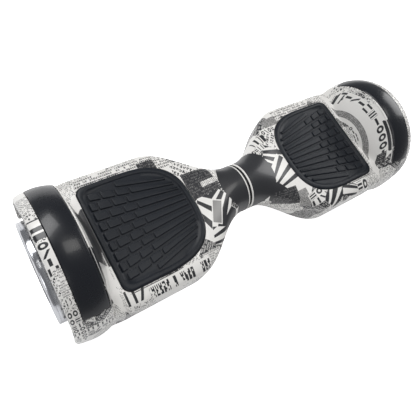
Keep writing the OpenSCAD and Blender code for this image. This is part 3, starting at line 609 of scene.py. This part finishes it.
def bumped(b, shader, height, strength, distance):
    made = b.node("Bump")
    b.plug(made.inputs["Height"], height)
    b.plug(made.inputs["Strength"], strength)
    b.plug(made.inputs["Distance"], distance)
    b.plug(shader.inputs["Normal"], made.outputs[0])


def spread(b, value, low, high):
    return b.plus(low, b.times(value, high - low))


paper, ink = (0.80, 0.785, 0.755, 1), (0.012, 0.013, 0.017, 1)

# Panels of the print, each laid over the ones before it: what fills it, its place on the shell (distance
# from the middle in mm, angle round the axle in degrees), its size along and round the shell, the ink of
# its ground and of its marks from 0 to 1, and more: turn in degrees, row, width, height and pitch of the
# marks in mm, thick (the share that is marked), squeeze (marks made narrower), count and corner of a fan.
panels = {
    "left": [
        ("small", 150, 20, (128, 27), 0, 1, dict(row=4.5, thick=0.72)),
        ("small", 118, 22, (24, 22), 1, 0.45, dict(row=4.5, thick=0.3)),
        ("wedges", 66, 112, (48, 60), 0, 1, dict(count=4.6, turn=34, corner=(-64, 6))),
        ("wedges", 78, 126, (20, 50), 1, 0, dict(count=3.6, turn=-28, corner=(48, -30))),
        ("plain", 62, 134, (34, 15), 0, 0, dict(turn=62)),
        ("plain", 62, 134, (31, 12), 0.42, 0, dict(turn=62)),
        ("wedges", 66, 162, (36, 24), 1, 0, dict(count=4.2, turn=-20, corner=(50, 18))),
        ("small", 62, 56, (42, 40), 1, 0.5, dict(row=4, thick=0.42)),
        ("small", 41, 64, (8, 44), 0, 1, dict(row=2.4, turn=90)),
        ("small", 96, 166, (30, 24), 0, 1, dict(row=3, thick=0.62)),
        ("small", 146, 165, (86, 23), 0, 1, dict(row=21, thick=0.76, squeeze=2.6)),
        ("bold", 206, 162, (30, 22), 0, 1, dict(width=15, height=22)),
        ("small", 222, 163, (10, 22), 0, 0.9, dict(row=2.2)),
        ("plain", 226, 132, (52, 50), 0, 0, dict()),
        ("plain", 226, 40, (52, 46), 0, 0, dict()),
        ("ticks", 226, 84, (52, 80), 1, 0.7, dict(pitch=1.9)),
        ("plain", 238, 72, (14, 60), 0, 0, dict(turn=10)),
        ("small", 221, 140, (36, 5), 0, 0.9, dict(row=2.5, turn=90)),
        ("ticksAcross", 278, 80, (14, 24), 0, 1, dict(pitch=2.6)),
        ("bold", 279, 100, (14, 36), 0, 1, dict(width=14, height=9)),
        ("small", 276, 117, (10, 30), 0, 1, dict(row=2.5)),
        ("bold", 276, 130, (12, 8), 0, 1, dict(width=4, height=4)),
        ("bold", 279, 146, (12, 30), 0, 0.95, dict(width=6, height=10)),
        ("bold", 278, 166, (14, 40), 0, 0.92, dict(width=7, height=8)),
        ("bold", 255, 162, (32, 14), 0, 0.95, dict(width=8, height=7)),
    ],
    "right": [
        ("wedges", 66, 80, (46, 44), 0, 1, dict(count=4.4, turn=40, corner=(-62, 8))),
        ("wedges", 68, 118, (46, 44), 1, 0, dict(count=4.4, turn=-36, corner=(-60, -10))),
        ("bold", 47, 40, (30, 10), 0, 1, dict(width=6, height=10, turn=-8)),
        ("ticks", 61, 27, (24, 14), 0, 1, dict(pitch=1.7)),
        ("bold", 86, 25, (24, 10), 0, 1, dict(width=6, height=10)),
        ("small", 98, 20, (26, 16), 0.35, 1, dict(row=2.5)),
        ("small", 148, 19, (74, 24), 0, 1, dict(row=4.8, thick=0.7)),
        ("plain", 126, 23, (14, 14), 1, 0, dict(turn=30)),
        ("ticks", 206, 24, (18, 18), 0, 1, dict(pitch=1.9)),
        ("small", 54, 160, (34, 28), 1, 0.5, dict(row=3.6, thick=0.42, turn=4)),
        ("small", 78, 160, (15, 28), 0.3, 1, dict(row=2.2)),
        ("bold", 98, 160, (28, 22), 0, 1, dict(width=14, height=11, turn=-12)),
        ("wedges", 128, 162, (38, 28), 0, 1, dict(count=4.5, turn=-38, corner=(-60, 8))),
        ("wedges", 162, 163, (32, 26), 1, 0, dict(count=4.5, turn=30, corner=(58, -6))),
        ("bold", 187, 165, (24, 20), 0, 1, dict(width=12, height=20)),
        ("small", 208, 163, (22, 20), 0, 0.9, dict(row=2.4)),
        ("plain", 229, 86, (44, 176), 0, 0, dict()),
        ("bold", 222, 100, (7, 28), 0, 1, dict(width=7, height=7)),
        ("small", 226, 90, (120, 10.4), 0.32, 0.98, dict(row=2.6, turn=90)),
        ("bold", 234.5, 86, (15, 156), 0, 1, dict(width=15, height=13)),
        ("small", 234, 148, (14, 22), 1, 0.3, dict(row=4, thick=0.4)),
        ("ticksAcross", 233, 33, (14, 22), 0, 1, dict(pitch=2)),
        ("small", 279, 90, (200, 13), 0, 0.95, dict(row=4.5, turn=90)),
    ],
}
printLook = {"neckBlack": {"left": 38, "right": 49}, "neckBow": 23, "lip": 2.6, "coat": 0.3}


def fillMarks(b, fill, lu, lv, size, more, number, seed):
    # the marks of one panel, from its own coordinates, which start at its middle
    if fill == "small":
        if "squeeze" in more:
            lu = b.times(lu, more["squeeze"])
        return b.group(smallMarks, U=lu, V=b.plus(lv, size[1]/2), RowHeight=float(more["row"]),
                       Density=more.get("thick", 0.6), Seed=number*3.1 + seed)["Ink"]
    if fill == "bold":
        return b.group(boldMarks, U=b.plus(lu, size[0]/2), V=b.plus(lv, size[1]/2),
                       Width=float(more["width"]), Height=float(more["height"]),
                       Seed=number*1.7 + seed)["Ink"]
    if fill == "wedges":
        return b.group(wedges, U=b.minus(lu, more["corner"][0]), V=b.minus(lv, more["corner"][1]),
                       Count=float(more["count"]))["Ink"]
    return b.group(ticks, U=lu if fill == "ticks" else lv, Pitch=float(more["pitch"]),
                   Density=more.get("thick", 0.55), Seed=number + seed)["Ink"]


def shellPrint(side):
    # newspaper-like print of random marks under a clear coat; black at the neck, plain white at its lip
    material, b, shader, coords = startMaterial(side + "ShellPrint", 0.34)
    shader.inputs["Coat Weight"].default_value = printLook["coat"]
    shader.inputs["Coat Roughness"].default_value = 0.12
    shader.inputs["Specular IOR Level"].default_value = 0.4
    uv = b.node("UVMap", uv_map="print").outputs[0]
    parts = b.node("SeparateXYZ", uv).outputs
    u, v = b.times(parts[0], 100.0), b.times(parts[1], 100.0)
    seed = 3.0 if side == "left" else 7.0
    total = b.group(clippings, U=u, V=v, Seed=seed)["Ink"]
    for number, (fill, x, angle, size, ground, fore, more) in enumerate(panels[side]):
        atU, atV = printPoint(x, angle)
        place = b.group(panelGroup, U=u, V=v, AtU=atU, AtV=atV, Turn=math.radians(more.get("turn", 0)),
                        HalfU=size[0]/2, HalfV=size[1]/2)
        lu, lv = place["LocalU"], place["LocalV"]
        if fill == "plain":
            value = float(ground)
        else:
            value = spread(b, fillMarks(b, fill, lu, lv, size, more, number, seed), ground, fore)
        total = b.blend(place["Mask"], total, value)
    # the neck is black up to a round edge that bulges towards the pad on top
    reach = printLook["neckBlack"][side]
    bulge = b.over(v, 46.0)
    edge = b.minus(float(reach), b.times(b.times(bulge, bulge), printLook["neckBow"]))
    total = b.blend(b.below(u, b.math("MAXIMUM", edge, 9.0)), total, 1.0)
    total = b.blend(b.below(u, printLook["lip"]), total, 0.0)
    # amounts of ink are given as the eye reads them, and colours mix by light
    total = b.minus(1.0, b.math("POWER", b.minus(1.0, total), 2.2))
    total = b.times(total, spread(b, b.noise(coords, 1500.0, 2.0), 0.965, 1.0))
    warm = b.tint(b.noise(coords, 18.0, 3.0), paper, (0.76, 0.75, 0.735, 1))
    b.plug(shader.inputs["Base Color"], b.tint(total, warm, ink))
    marks = b.group(smudge, Vector=coords)
    rough = b.plus(spread(b, marks["Marks"], 0.24, 0.4), b.times(marks["Dust"], 0.25))
    b.plug(shader.inputs["Roughness"], rough)
    bumped(b, shader, b.noise(coords, 420.0, 2.0), 0.06, 0.0006)
    return material


def mouldedPlastic(name, colour, other, roughness, fine=1100.0, coat=0.0, strength=0.12, shine=0.5):
    # plastic or rubber with a fine grain and a slow change of tone
    material, b, shader, coords = startMaterial(name, roughness)
    shader.inputs["Coat Weight"].default_value = coat
    shader.inputs["Coat Roughness"].default_value = 0.08
    shader.inputs["Specular IOR Level"].default_value = shine
    g = b.group(grain, Vector=coords, Fine=fine)
    marks = b.group(smudge, Vector=coords)
    tone = b.tint(g["Tone"], (*colour, 1), (*other, 1))
    b.plug(shader.inputs["Base Color"], b.tint(b.times(marks["Dust"], 0.25), tone, (0.25, 0.25, 0.25, 1)))
    b.plug(shader.inputs["Roughness"], spread(b, marks["Marks"], roughness - 0.07, roughness + 0.09))
    bumped(b, shader, g["Height"], strength, 0.0004)
    return material


def turnedMetal(name, colour, other, low, high, pitch=2500.0, strength=0.08):
    # metal turned on a lathe: rings about the axle in tone, gloss and relief
    material, b, shader, coords = startMaterial(name, 0.2, 1.0)
    lines = b.group(latheLines, Vector=coords, Pitch=pitch)
    b.plug(shader.inputs["Base Color"], b.tint(lines["Lines"], (*colour, 1), (*other, 1)))
    rougher = b.plus(high, b.times(lines["Lines"], 0.08))
    b.plug(shader.inputs["Roughness"], b.blend(lines["Smears"], low, rougher))
    bumped(b, shader, lines["Lines"], strength, 0.0002)
    return material


def castMetal(name, colour, other, low, high, fine=700.0, strength=0.25):
    # cast, ground or plated metal: grain in relief, blotches in tone and gloss
    material, b, shader, coords = startMaterial(name, 0.4, 1.0)
    g = b.group(grain, Vector=coords, Fine=fine, Coarse=60.0)
    b.plug(shader.inputs["Base Color"], b.tint(g["Tone"], (*colour, 1), (*other, 1)))
    b.plug(shader.inputs["Roughness"], spread(b, g["Tone"], low, high))
    bumped(b, shader, g["Height"], strength, 0.0003)
    return material


def layered(name, colour, other, along, pitch, roughness, metallic, strength):
    # stacked sheets, turns of wire or tracks: fine lines along one axis
    material, b, shader, coords = startMaterial(name, roughness, metallic)
    g = b.group(grain, Vector=coords)
    parts = b.node("SeparateXYZ", coords).outputs
    wave = b.math("SINE", b.times(parts[along], 2*math.pi/(pitch*mm)))
    line = b.math("MULTIPLY_ADD", wave, 0.5, 0.5)
    b.plug(shader.inputs["Base Color"], b.tint(b.times(line, spread(b, g["Tone"], 0.6, 1.0)),
                                               (*other, 1), (*colour, 1)))
    b.plug(shader.inputs["Roughness"], spread(b, g["Tone"], roughness - 0.08, roughness + 0.1))
    bumped(b, shader, line, strength, 0.0003)
    return material


def circuitBoard(name, colour, track):
    # solder mask with tracks that follow a grid, and pads where they end
    material, b, shader, coords = startMaterial(name, 0.35)
    parts = b.node("SeparateXYZ", coords).outputs
    scaled = [b.times(parts[k], 1/(1.7*mm)) for k in (0, 1)]
    cells = [b.floor(value) for value in scaled]
    inCell = [b.absolute(b.minus(b.fract(value), 0.5)) for value in scaled]
    pick = b.random(cells[0], cells[1])
    across = b.both(b.below(inCell[0], 0.14), b.below(pick, 0.55))
    along = b.both(b.below(inCell[1], 0.14), b.above(pick, 0.35))
    lines = b.math("MAXIMUM", across, along)
    dot = b.both(b.below(inCell[0], 0.27), b.below(inCell[1], 0.27), b.above(pick, 0.8))
    base = b.tint(b.times(lines, 0.55), (*colour, 1), (*track, 1))
    b.plug(shader.inputs["Base Color"], b.tint(dot, base, (0.75, 0.62, 0.35, 1)))
    b.plug(shader.inputs["Metallic"], b.times(dot, 0.9))
    bumped(b, shader, b.math("MAXIMUM", lines, dot), 0.25, 0.0002)
    return material


def frostedLens():
    # moulded lens with fine upright flutes over white light emitters
    material, b, shader, coords = startMaterial("frostedLens", 0.25)
    shader.inputs["Coat Weight"].default_value = 0.6
    parts = b.node("SeparateXYZ", coords).outputs
    flute = b.absolute(b.math("SINE", b.times(parts[0], math.pi/(2.0*mm))))
    tone = b.times(flute, spread(b, b.noise(coords, 120.0, 2.0), 0.7, 1.0))
    b.plug(shader.inputs["Base Color"], b.tint(tone, (0.62, 0.66, 0.7, 1), (0.9, 0.92, 0.93, 1)))
    b.plug(shader.inputs["Roughness"], spread(b, tone, 0.12, 0.3))
    bumped(b, shader, flute, 0.3, 0.0005)
    return material


plastics = {
    "glossBlack": ("glossBlackBand", (0.007, 0.008, 0.012), (0.008, 0.010, 0.014), 0.27, 500.0, 0.2, 0.03,
                   0.35),
    "padRubber": ("padRubber", (0.007, 0.009, 0.013), (0.011, 0.014, 0.020), 0.36, 1500.0, 0.0, 0.2, 0.26),
    "tyreRubber": ("tyreRubber", (0.014, 0.014, 0.015), (0.024, 0.024, 0.025), 0.66, 900.0, 0.0, 0.35),
    "blackPlastic": ("blackPlastic", (0.017, 0.018, 0.02), (0.026, 0.027, 0.03), 0.45),
    "whiteEdge": ("whiteMoulding", (0.74, 0.73, 0.71), (0.68, 0.675, 0.66), 0.38, 800.0, 0.2, 0.06),
    "cableJacket": ("cableJacket", (0.02, 0.02, 0.023), (0.035, 0.035, 0.04), 0.55, 700.0),
}
finishes = {name: mouldedPlastic(*values) for name, values in plastics.items()}
finishes |= {
    "hubPolish": turnedMetal("polishedHub", (0.68, 0.69, 0.72), (0.58, 0.59, 0.62), 0.06, 0.14),
    "turnedSteel": turnedMetal("groundSteel", (0.62, 0.62, 0.63), (0.5, 0.5, 0.52), 0.18, 0.3, 4000.0),
    "bronze": turnedMetal("bushBronze", (0.7, 0.47, 0.2), (0.55, 0.35, 0.14), 0.25, 0.4, 3000.0),
    "castAlloy": castMetal("castAlloy", (0.63, 0.64, 0.66), (0.5, 0.51, 0.53), 0.38, 0.55),
    "screwSteel": castMetal("screwSteel", (0.3, 0.3, 0.32), (0.2, 0.2, 0.22), 0.28, 0.42, 1500.0, 0.1),
    "magnetPlate": castMetal("magnetPlate", (0.55, 0.55, 0.57), (0.42, 0.42, 0.45), 0.15, 0.3, 900.0, 0.06),
    "buttonSilver": turnedMetal("buttonSilver", (0.72, 0.73, 0.75), (0.62, 0.63, 0.66), 0.22, 0.34),
    "lamination": layered("statorSheets", (0.36, 0.37, 0.39), (0.2, 0.21, 0.22), 0, 0.8, 0.42, 0.9, 0.4),
    "copperWire": layered("enamelledWire", (0.72, 0.3, 0.12), (0.4, 0.13, 0.05), 0, 0.9, 0.28, 0.85, 0.6),
    "batteryWrap": layered("batteryWrap", (0.03, 0.13, 0.38), (0.02, 0.09, 0.28), 0, 18.5, 0.3, 0.0, 0.3),
    "greenBoard": circuitBoard("greenBoard", (0.01, 0.09, 0.035), (0.02, 0.19, 0.07)),
    "whiteBoard": circuitBoard("whiteBoard", (0.72, 0.73, 0.72), (0.55, 0.56, 0.56)),
    "lens": frostedLens(),
}
# nodes of the frame by the finish they get
nodesByFinish = {
    "castAlloy": "chassis axle_clamp rotor_drum rotor_cover",
    "screwSteel": "clamp_screws cover_screws board_screws hub_screws pivot_circlip",
    "greenBoard": "sensor_board main_board button_board",
    "lens": "lamp_lens",
    "whiteBoard": "lamp_board",
    "turnedSteel": "motor_axle motor_bearings pivot_shaft stop_pin",
    "lamination": "stator_core",
    "copperWire": "stator_windings",
    "magnetPlate": "magnet_ring",
    "cableJacket": "motor_lead neck_cable",
    "bronze": "pivot_bushes",
    "blackPlastic": "neck_sleeve charge_port",
    "batteryWrap": "battery_pack",
    "padRubber": "charge_cap foot_pad",
    "buttonSilver": "power_button",
    "whiteEdge": "upper_cover lower_cover",
    "glossBlack": "fender_band",
    "hubPolish": "hub_cap",
    "tyreRubber": "tyre",
}
nodeFinish = {node: name for name, nodes in nodesByFinish.items() for node in nodes.split()}
for name, obj in nodes.items():
    short = name.replace("left_", "").replace("right_", "")
    for holder in obj.material_slots:
        holder.material = finishes[nodeFinish[short]]
print("finishes made:", len(finishes))


def makeCover(side, upper):
    s = sides[side]
    points, shape, uv = coverGrid(upper)
    # columns run round the axle, so the quads face away from it for the right half
    quads = gridQuads(*shape, flip=s < 0)
    name = side + ("_upper_shell" if upper else "_lower_shell")
    made = putMesh(name, mirrored(points, s), quads, uv)
    made.data.materials.append(prints[side])
    made.data.materials.append(finishes["whiteEdge"])
    wall = made.modifiers.new("skin", "SOLIDIFY")
    wall.thickness, wall.offset = shell["skin"]*mm, -1
    wall.material_offset = wall.material_offset_rim = 1
    for cutShape in cutters(upper, s):
        cutter = putMesh(name + "_cut", *forSide(*cutShape, s))
        for holder in (prints[side], finishes["whiteEdge"]):
            cutter.data.materials.append(holder)
        cutter.data.polygons.foreach_set("material_index", np.ones(len(cutter.data.polygons), np.int32))
        cut = made.modifiers.new("openings", "BOOLEAN")
        cut.object, cut.operation, cut.solver = cutter, "DIFFERENCE", "EXACT"
        applyModifiers(made)
        bpy.data.objects.remove(cutter)
    made.data.set_sharp_from_angle(angle=math.radians(38))
    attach(made, side + "_half")
    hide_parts(side + ("_upper_cover" if upper else "_lower_cover"))
    return made


prints = {side: shellPrint(side) for side in sides}
for side in sides:
    for upper in (True, False):
        made = makeCover(side, upper)
        print(made.name, len(made.data.polygons), "faces")


band = {"steps": 30, "turns": 150, "lift": 0.35, "edge": 1.2, "inner": 89.75, "endRound": 1.4}


def rounded(distance, radius):
    # how far a quarter-round edge lies below its flat, at a distance from the edge
    return radius*(1 - np.sqrt(np.clip(1 - (1 - np.clip(distance/radius, 0, 1))**2, 0, 1)))


def makeBand(side):
    # the arch's crown lifted a little, with rounded edges and ends, over a plain inner face
    s = sides[side]
    x = np.linspace(bandX0 + 0.2, bandX1 - 0.2, band["steps"] + 1)
    t = np.minimum(x - x[0], x[-1] - x)
    top = crownRadius(x) + band["lift"] - rounded(t, band["edge"])
    profile = np.concatenate([np.column_stack([x, top]), [[x[-1], band["inner"]], [x[0], band["inner"]]]])
    half = math.radians(shell["bandHalfAngle"] - 0.15)
    a = np.concatenate([[-half], -half + np.radians([0.25, 0.6, 1.0]),
                        np.linspace(-half + 0.03, half - 0.03, band["turns"]),
                        half - np.radians([1.0, 0.6, 0.25]), [half]])
    fromEnd = np.minimum(a + half, half - a)*92
    tuck = rounded(fromEnd, band["endRound"])
    radius = np.maximum(profile[None, :, 1] - tuck[:, None]*0.8, band["inner"])
    angle = a[:, None] + np.pi/2
    points = np.stack([np.broadcast_to(profile[None, :, 0], radius.shape), radius*np.cos(angle),
                       axleZ + radius*np.sin(angle)], -1)
    ends = [np.broadcast_to(points[k].mean(0), points[k].shape)[None] for k in (0, -1)]
    points = np.concatenate([ends[0], points, ends[1]])
    quads = gridQuads(len(points), points.shape[1], wrapColumns=True)
    points = mirrored(points.reshape(-1, 3), s)
    made = putMesh(side + "_wheel_band", points, turnedOut(points, quads))
    return finishPiece(made, side + "_half", finishes["glossBlack"], "gloss_black", side + "_fender_band")


treads = {"apex": -70, "pitch": 0.05, "ribs": 6, "groove": 2.6, "first": 91.5, "last": 211.5,
          "cuts": {0: (155, 173, 191), 1: (164, 182, 200)}, "inset": 9.0, "field": 1.7, "corner": 1.1,
          "cutWidth": 2.2}


def treadBlocks():
    # ribs fan out from a point beyond the neck; past the middle each is cut into bricks, staggered by row
    inside = padOutline(-treads["inset"])
    top = inside[:len(inside)//2 + 1]
    order = np.argsort(top[:, 0])
    corners = []
    for k in range(-treads["ribs"], treads["ribs"] + 1):
        x = np.linspace(treads["first"], treads["last"], 600)
        centre = (x - treads["apex"])*np.tan(k*treads["pitch"])
        half = (x - treads["apex"])*treads["pitch"]/2 - treads["groove"]/2
        room = np.interp(x, top[order, 0], top[order, 1], left=-1, right=-1)
        fits = (np.abs(centre) + half*0.55) < room
        if not fits.any():
            continue
        x0, x1 = x[fits][0], x[fits][-1]
        stops = [x0] + [c for c in treads["cuts"][k % 2] if x0 + 8 < c < x1 - 5] + [x1]
        for a, b in zip(stops[:-1], stops[1:]):
            a = a + (treads["cutWidth"]/2 if a != x0 else 0)
            b = b - (treads["cutWidth"]/2 if b != x1 else 0)
            quad = []
            for xx, sign in ((a, -1), (b, -1), (b, 1), (a, 1)):
                c = (xx - treads["apex"])*math.tan(k*treads["pitch"])
                h = (xx - treads["apex"])*treads["pitch"]/2 - treads["groove"]/2
                limit = float(np.interp(xx, top[order, 0], top[order, 1]))
                quad.append((xx, float(np.clip(c + sign*h, -limit, limit))))
            corners.append(quad)
    return np.array(corners)


def makePad(side):
    top = pad["top"]
    rim = [ringAt(padOutline(g), z) for g, z in (
        (-8, top - pad["depth"]), (-0.4, top - pad["depth"]), (0, top - pad["depth"] + 0.5), (0, top - 2.4),
        (-0.35, top - 1.5), (-1.2, top - 0.75), (-2.3, top - 0.45), (-5.6, top - 0.35), (-6.6, top - 0.7),
        (-7.4, top - treads["field"]), (-12, top - treads["field"]), (-30, top - treads["field"] - 0.05))]
    parts = [stacked(rim)]
    c = treadBlocks()
    toNext = np.roll(c, -1, 1) - c
    toLast = np.roll(c, 1, 1) - c
    toNext /= np.linalg.norm(toNext, axis=2, keepdims=True)
    toLast /= np.linalg.norm(toLast, axis=2, keepdims=True)
    rings = []
    for inset, z in ((0, top - treads["field"] - 0.6), (0.05, top - 0.75), (0.25, top - 0.3),
                     (0.75, top - 0.04), (1.6, top)):
        at = c + (toNext + toLast)*inset
        r = treads["corner"]
        ring = np.stack([at + toLast*r, at + (toLast + toNext)*r*0.28, at + toNext*r], 2)
        ring = ring.reshape(len(c), 12, 2)
        rings.append(np.concatenate([ring, np.full((len(c), 12, 1), z)], 2))
    rings = np.array(rings)
    for k in range(len(c)):
        parts.append(stacked(rings[:, k]))
    for y in (-22, 22):
        parts.append(disc(pad["x0"] + 81, y, 3.5, padLow[2], top - pad["depth"] + 0.4))
    points, quads = joined(parts)
    made = putMesh(side + "_ribbed_pad", *forSide(points, quads, sides[side]), sharp=50)
    return finishPiece(made, side + "_pad", finishes["padRubber"], "pad_rubber", side + "_foot_pad")


def makeTray(side):
    made = putMesh(side + "_pad_pocket", *forSide(*padTray(), sides[side]))
    return finishPiece(made, side + "_half", finishes["blackPlastic"], "black_plastic")


hub = {"face": 292, "steps": 180, "sharp": 32}
hubProfile = [
    (277, 61), (277, 65.9), (280, 65.9), (280, 64), (288.6, 64), (288.8, 63.6), (289.2, 63.6), (289.4, 64),
    (290.9, 64), (291.5, 63.7), (291.9, 63.1), (292, 62.4), (291.9, 61.6), (291.2, 61.0), (290.6, 60.6),
    (290.2, 59), (290.4, 57.5), (290.8, 56.9), (290.8, 55.6), (290.3, 55), (289.4, 50), (288.9, 44),
    (288.8, 38), (289.2, 34.5), (290.2, 33), (290.9, 32.2), (291.1, 30.6), (290.7, 29.6), (290.7, 27),
    (291.3, 26), (291.6, 24), (291.7, 16), (291.75, 8), (291.8, 0.001), (287.2, 0.001), (287.2, 10),
    (286.8, 21), (286.8, 56), (280, 59)]


def makeHub(side):
    # polished cover, turned: a side wall with a fine groove, a double rim and a dished face round a low boss
    points, quads = turned(np.array(hubProfile) + [capHigh[0] - hub["face"], 0], hub["steps"])
    made = putMesh(side + "_hub_cover", *forSide(points, quads, sides[side]), sharp=hub["sharp"])
    return finishPiece(made, side + "_wheel", finishes["hubPolish"], "polished_aluminium", side + "_hub_cap")


tread = {"depth": 1.5, "blocks": 60, "steps": 360, "rim": 66.0, "shoulder": 9.0, "flatShare": 0.52,
         "shoulderPower": 2.4, "crown": 0.9, "slant": 0.9, "cutShare": 0.2, "cutFrom": 0.36, "cutTo": 0.93,
         "grooveAt": 0.32, "grooveHalf": 0.045}


def makeTyre(side):
    # a rounded profile carried round the axle, with slanted cuts in its shoulders and two grooves all round
    x0, x1 = tyreLow[0], tyreHigh[0]
    middle, half = (x0 + x1)/2, (x1 - x0)/2
    outer = tyreHigh[2] - axleZ
    t = np.linspace(-1, 1, 45)
    past = np.clip((np.abs(t) - tread["flatShare"])/(1 - tread["flatShare"]), 0, 1)
    crown = outer - tread["shoulder"]*past**tread["shoulderPower"] - tread["crown"]*t*t
    profileX = np.concatenate([[x0 + 3, x0 + 1], middle + half*t, [x1 - 1, x1 - 3]])
    profileR = np.concatenate([[tread["rim"], tread["rim"] + 3], crown, [tread["rim"] + 3, tread["rim"]]])
    place = np.concatenate([[-1.2, -1.1], t, [1.1, 1.2]])
    a = np.linspace(0, 2*np.pi, tread["steps"], endpoint=False)[:, None]
    out = np.abs(place)[None, :]
    wave = np.mod(a*tread["blocks"]/(2*np.pi) + out*tread["slant"], 1)
    cuts = (wave < tread["cutShare"]) & (out > tread["cutFrom"]) & (out < tread["cutTo"])
    grooves = np.abs(out - tread["grooveAt"]) < tread["grooveHalf"]
    radius = profileR[None, :] - tread["depth"]*(cuts | grooves)
    points = np.stack([np.broadcast_to(profileX[None, :], radius.shape), radius*np.cos(a),
                       axleZ + radius*np.sin(a)], -1)
    quads = gridQuads(len(a), len(profileX), wrapRows=True, wrapColumns=True)
    points = mirrored(points.reshape(-1, 3), sides[side])
    made = putMesh(side + "_tread_tyre", points, turnedOut(points, quads))
    return finishPiece(made, side + "_wheel", finishes["tyreRubber"], "tyre_rubber", side + "_tyre")


for side in sides:
    for maker in (makeBand, makePad, makeTray, makeHub, makeTyre):
        made = maker(side)
        print(made.name, len(made.data.polygons), "faces")


studio = {
    "floor": 4.0, "sky": 0.26, "backdrop": 1.1,
    "eye": (-0.301643, -0.142969, 0.577861), "right": (0.8229, -0.4949, 0.2792),
    "forward": (0.4323, 0.2265, -0.8728), "halfView": 27.52,
}
lights = {
    "keyPanel": dict(place=(-0.5, 1.1, 1.5), target=(0, 0, 0.08), size=(1.2, 0.8), power=18),
    "fillPanel": dict(place=(-1.3, -0.9, 1.2), target=(0, 0, 0.08), size=(1.0, 1.0), power=7),
    "overheadPanel": dict(place=(0.25, 0.02, 1.6), target=(0.25, 0.02, 0.1), size=(0.9, 0.42), power=4.6,
                          colour=(1, 0.985, 0.95)),
    "endPanel": dict(place=(1.4, 0.2, 0.9), target=(0, 0, 0.1), size=(0.8, 0.8), power=8),
}


def makeFloor():
    half = studio["floor"]/2/mm
    ring = np.array([[-half, -half, 0], [half, -half, 0], [half, half, 0], [-half, half, 0]], float)
    floor = putMesh("floor", ring, np.array([[0, 1, 2, 3]]))
    material, b, shader, coords = startMaterial("paleFloor", 0.85)
    tone = b.noise(coords, 3.0, 2.0)
    b.plug(shader.inputs["Base Color"], b.tint(tone, (0.93, 0.93, 0.93, 1), (0.95, 0.95, 0.95, 1)))
    # seen directly it is bright; what it gives back to the board stays dim, so shade and reflections hold
    seen = b.node("LightPath").outputs["Is Camera Ray"]
    b.plug(shader.inputs["Emission Color"], b.tint(seen, (0.06, 0.06, 0.065, 1), (1, 1, 1, 1)))
    shader.inputs["Emission Strength"].default_value = 0.9
    floor.data.materials.append(material)


def makeLight(name, place, target, size, power, colour=(1, 1, 1)):
    data = bpy.data.lights.new(name, "AREA")
    data.shape, data.size, data.size_y = "RECTANGLE", size[0], size[1]
    data.energy, data.color = power, colour
    made = bpy.data.objects.new(name, data)
    made.location = place
    made.rotation_euler = (Vector(target) - Vector(place)).to_track_quat("-Z", "Y").to_euler()
    bpy.context.scene.collection.objects.link(made)


makeFloor()
for name, light in lights.items():
    makeLight(name, **light)
world = bpy.data.worlds.new("softRoom")
bpy.context.scene.world = world
world.use_nodes = True
sky = world.node_tree.nodes["Background"]
sky.inputs["Color"].default_value = (0.97, 0.98, 1.0, 1)
room = Bench(world.node_tree)
seenDirectly = room.node("LightPath").outputs["Is Camera Ray"]
room.plug(sky.inputs["Strength"], room.blend(seenDirectly, studio["sky"], studio["backdrop"]))


def makeCamera():
    right = Vector(studio["right"]).normalized()
    back = -Vector(studio["forward"]).normalized()
    up = back.cross(right).normalized()
    right = up.cross(back)
    data = bpy.data.cameras.new("camera")
    data.sensor_width = 36
    data.lens = 18/math.tan(math.radians(studio["halfView"]))
    data.clip_start, data.clip_end = 0.02, 20
    made = bpy.data.objects.new("camera", data)
    made.matrix_world = Matrix.Translation(studio["eye"]) @ Matrix((right, up, back)).transposed().to_4x4()
    bpy.context.scene.collection.objects.link(made)
    bpy.context.scene.camera = made


makeCamera()
bpy.context.scene.view_settings.view_transform = "Standard"
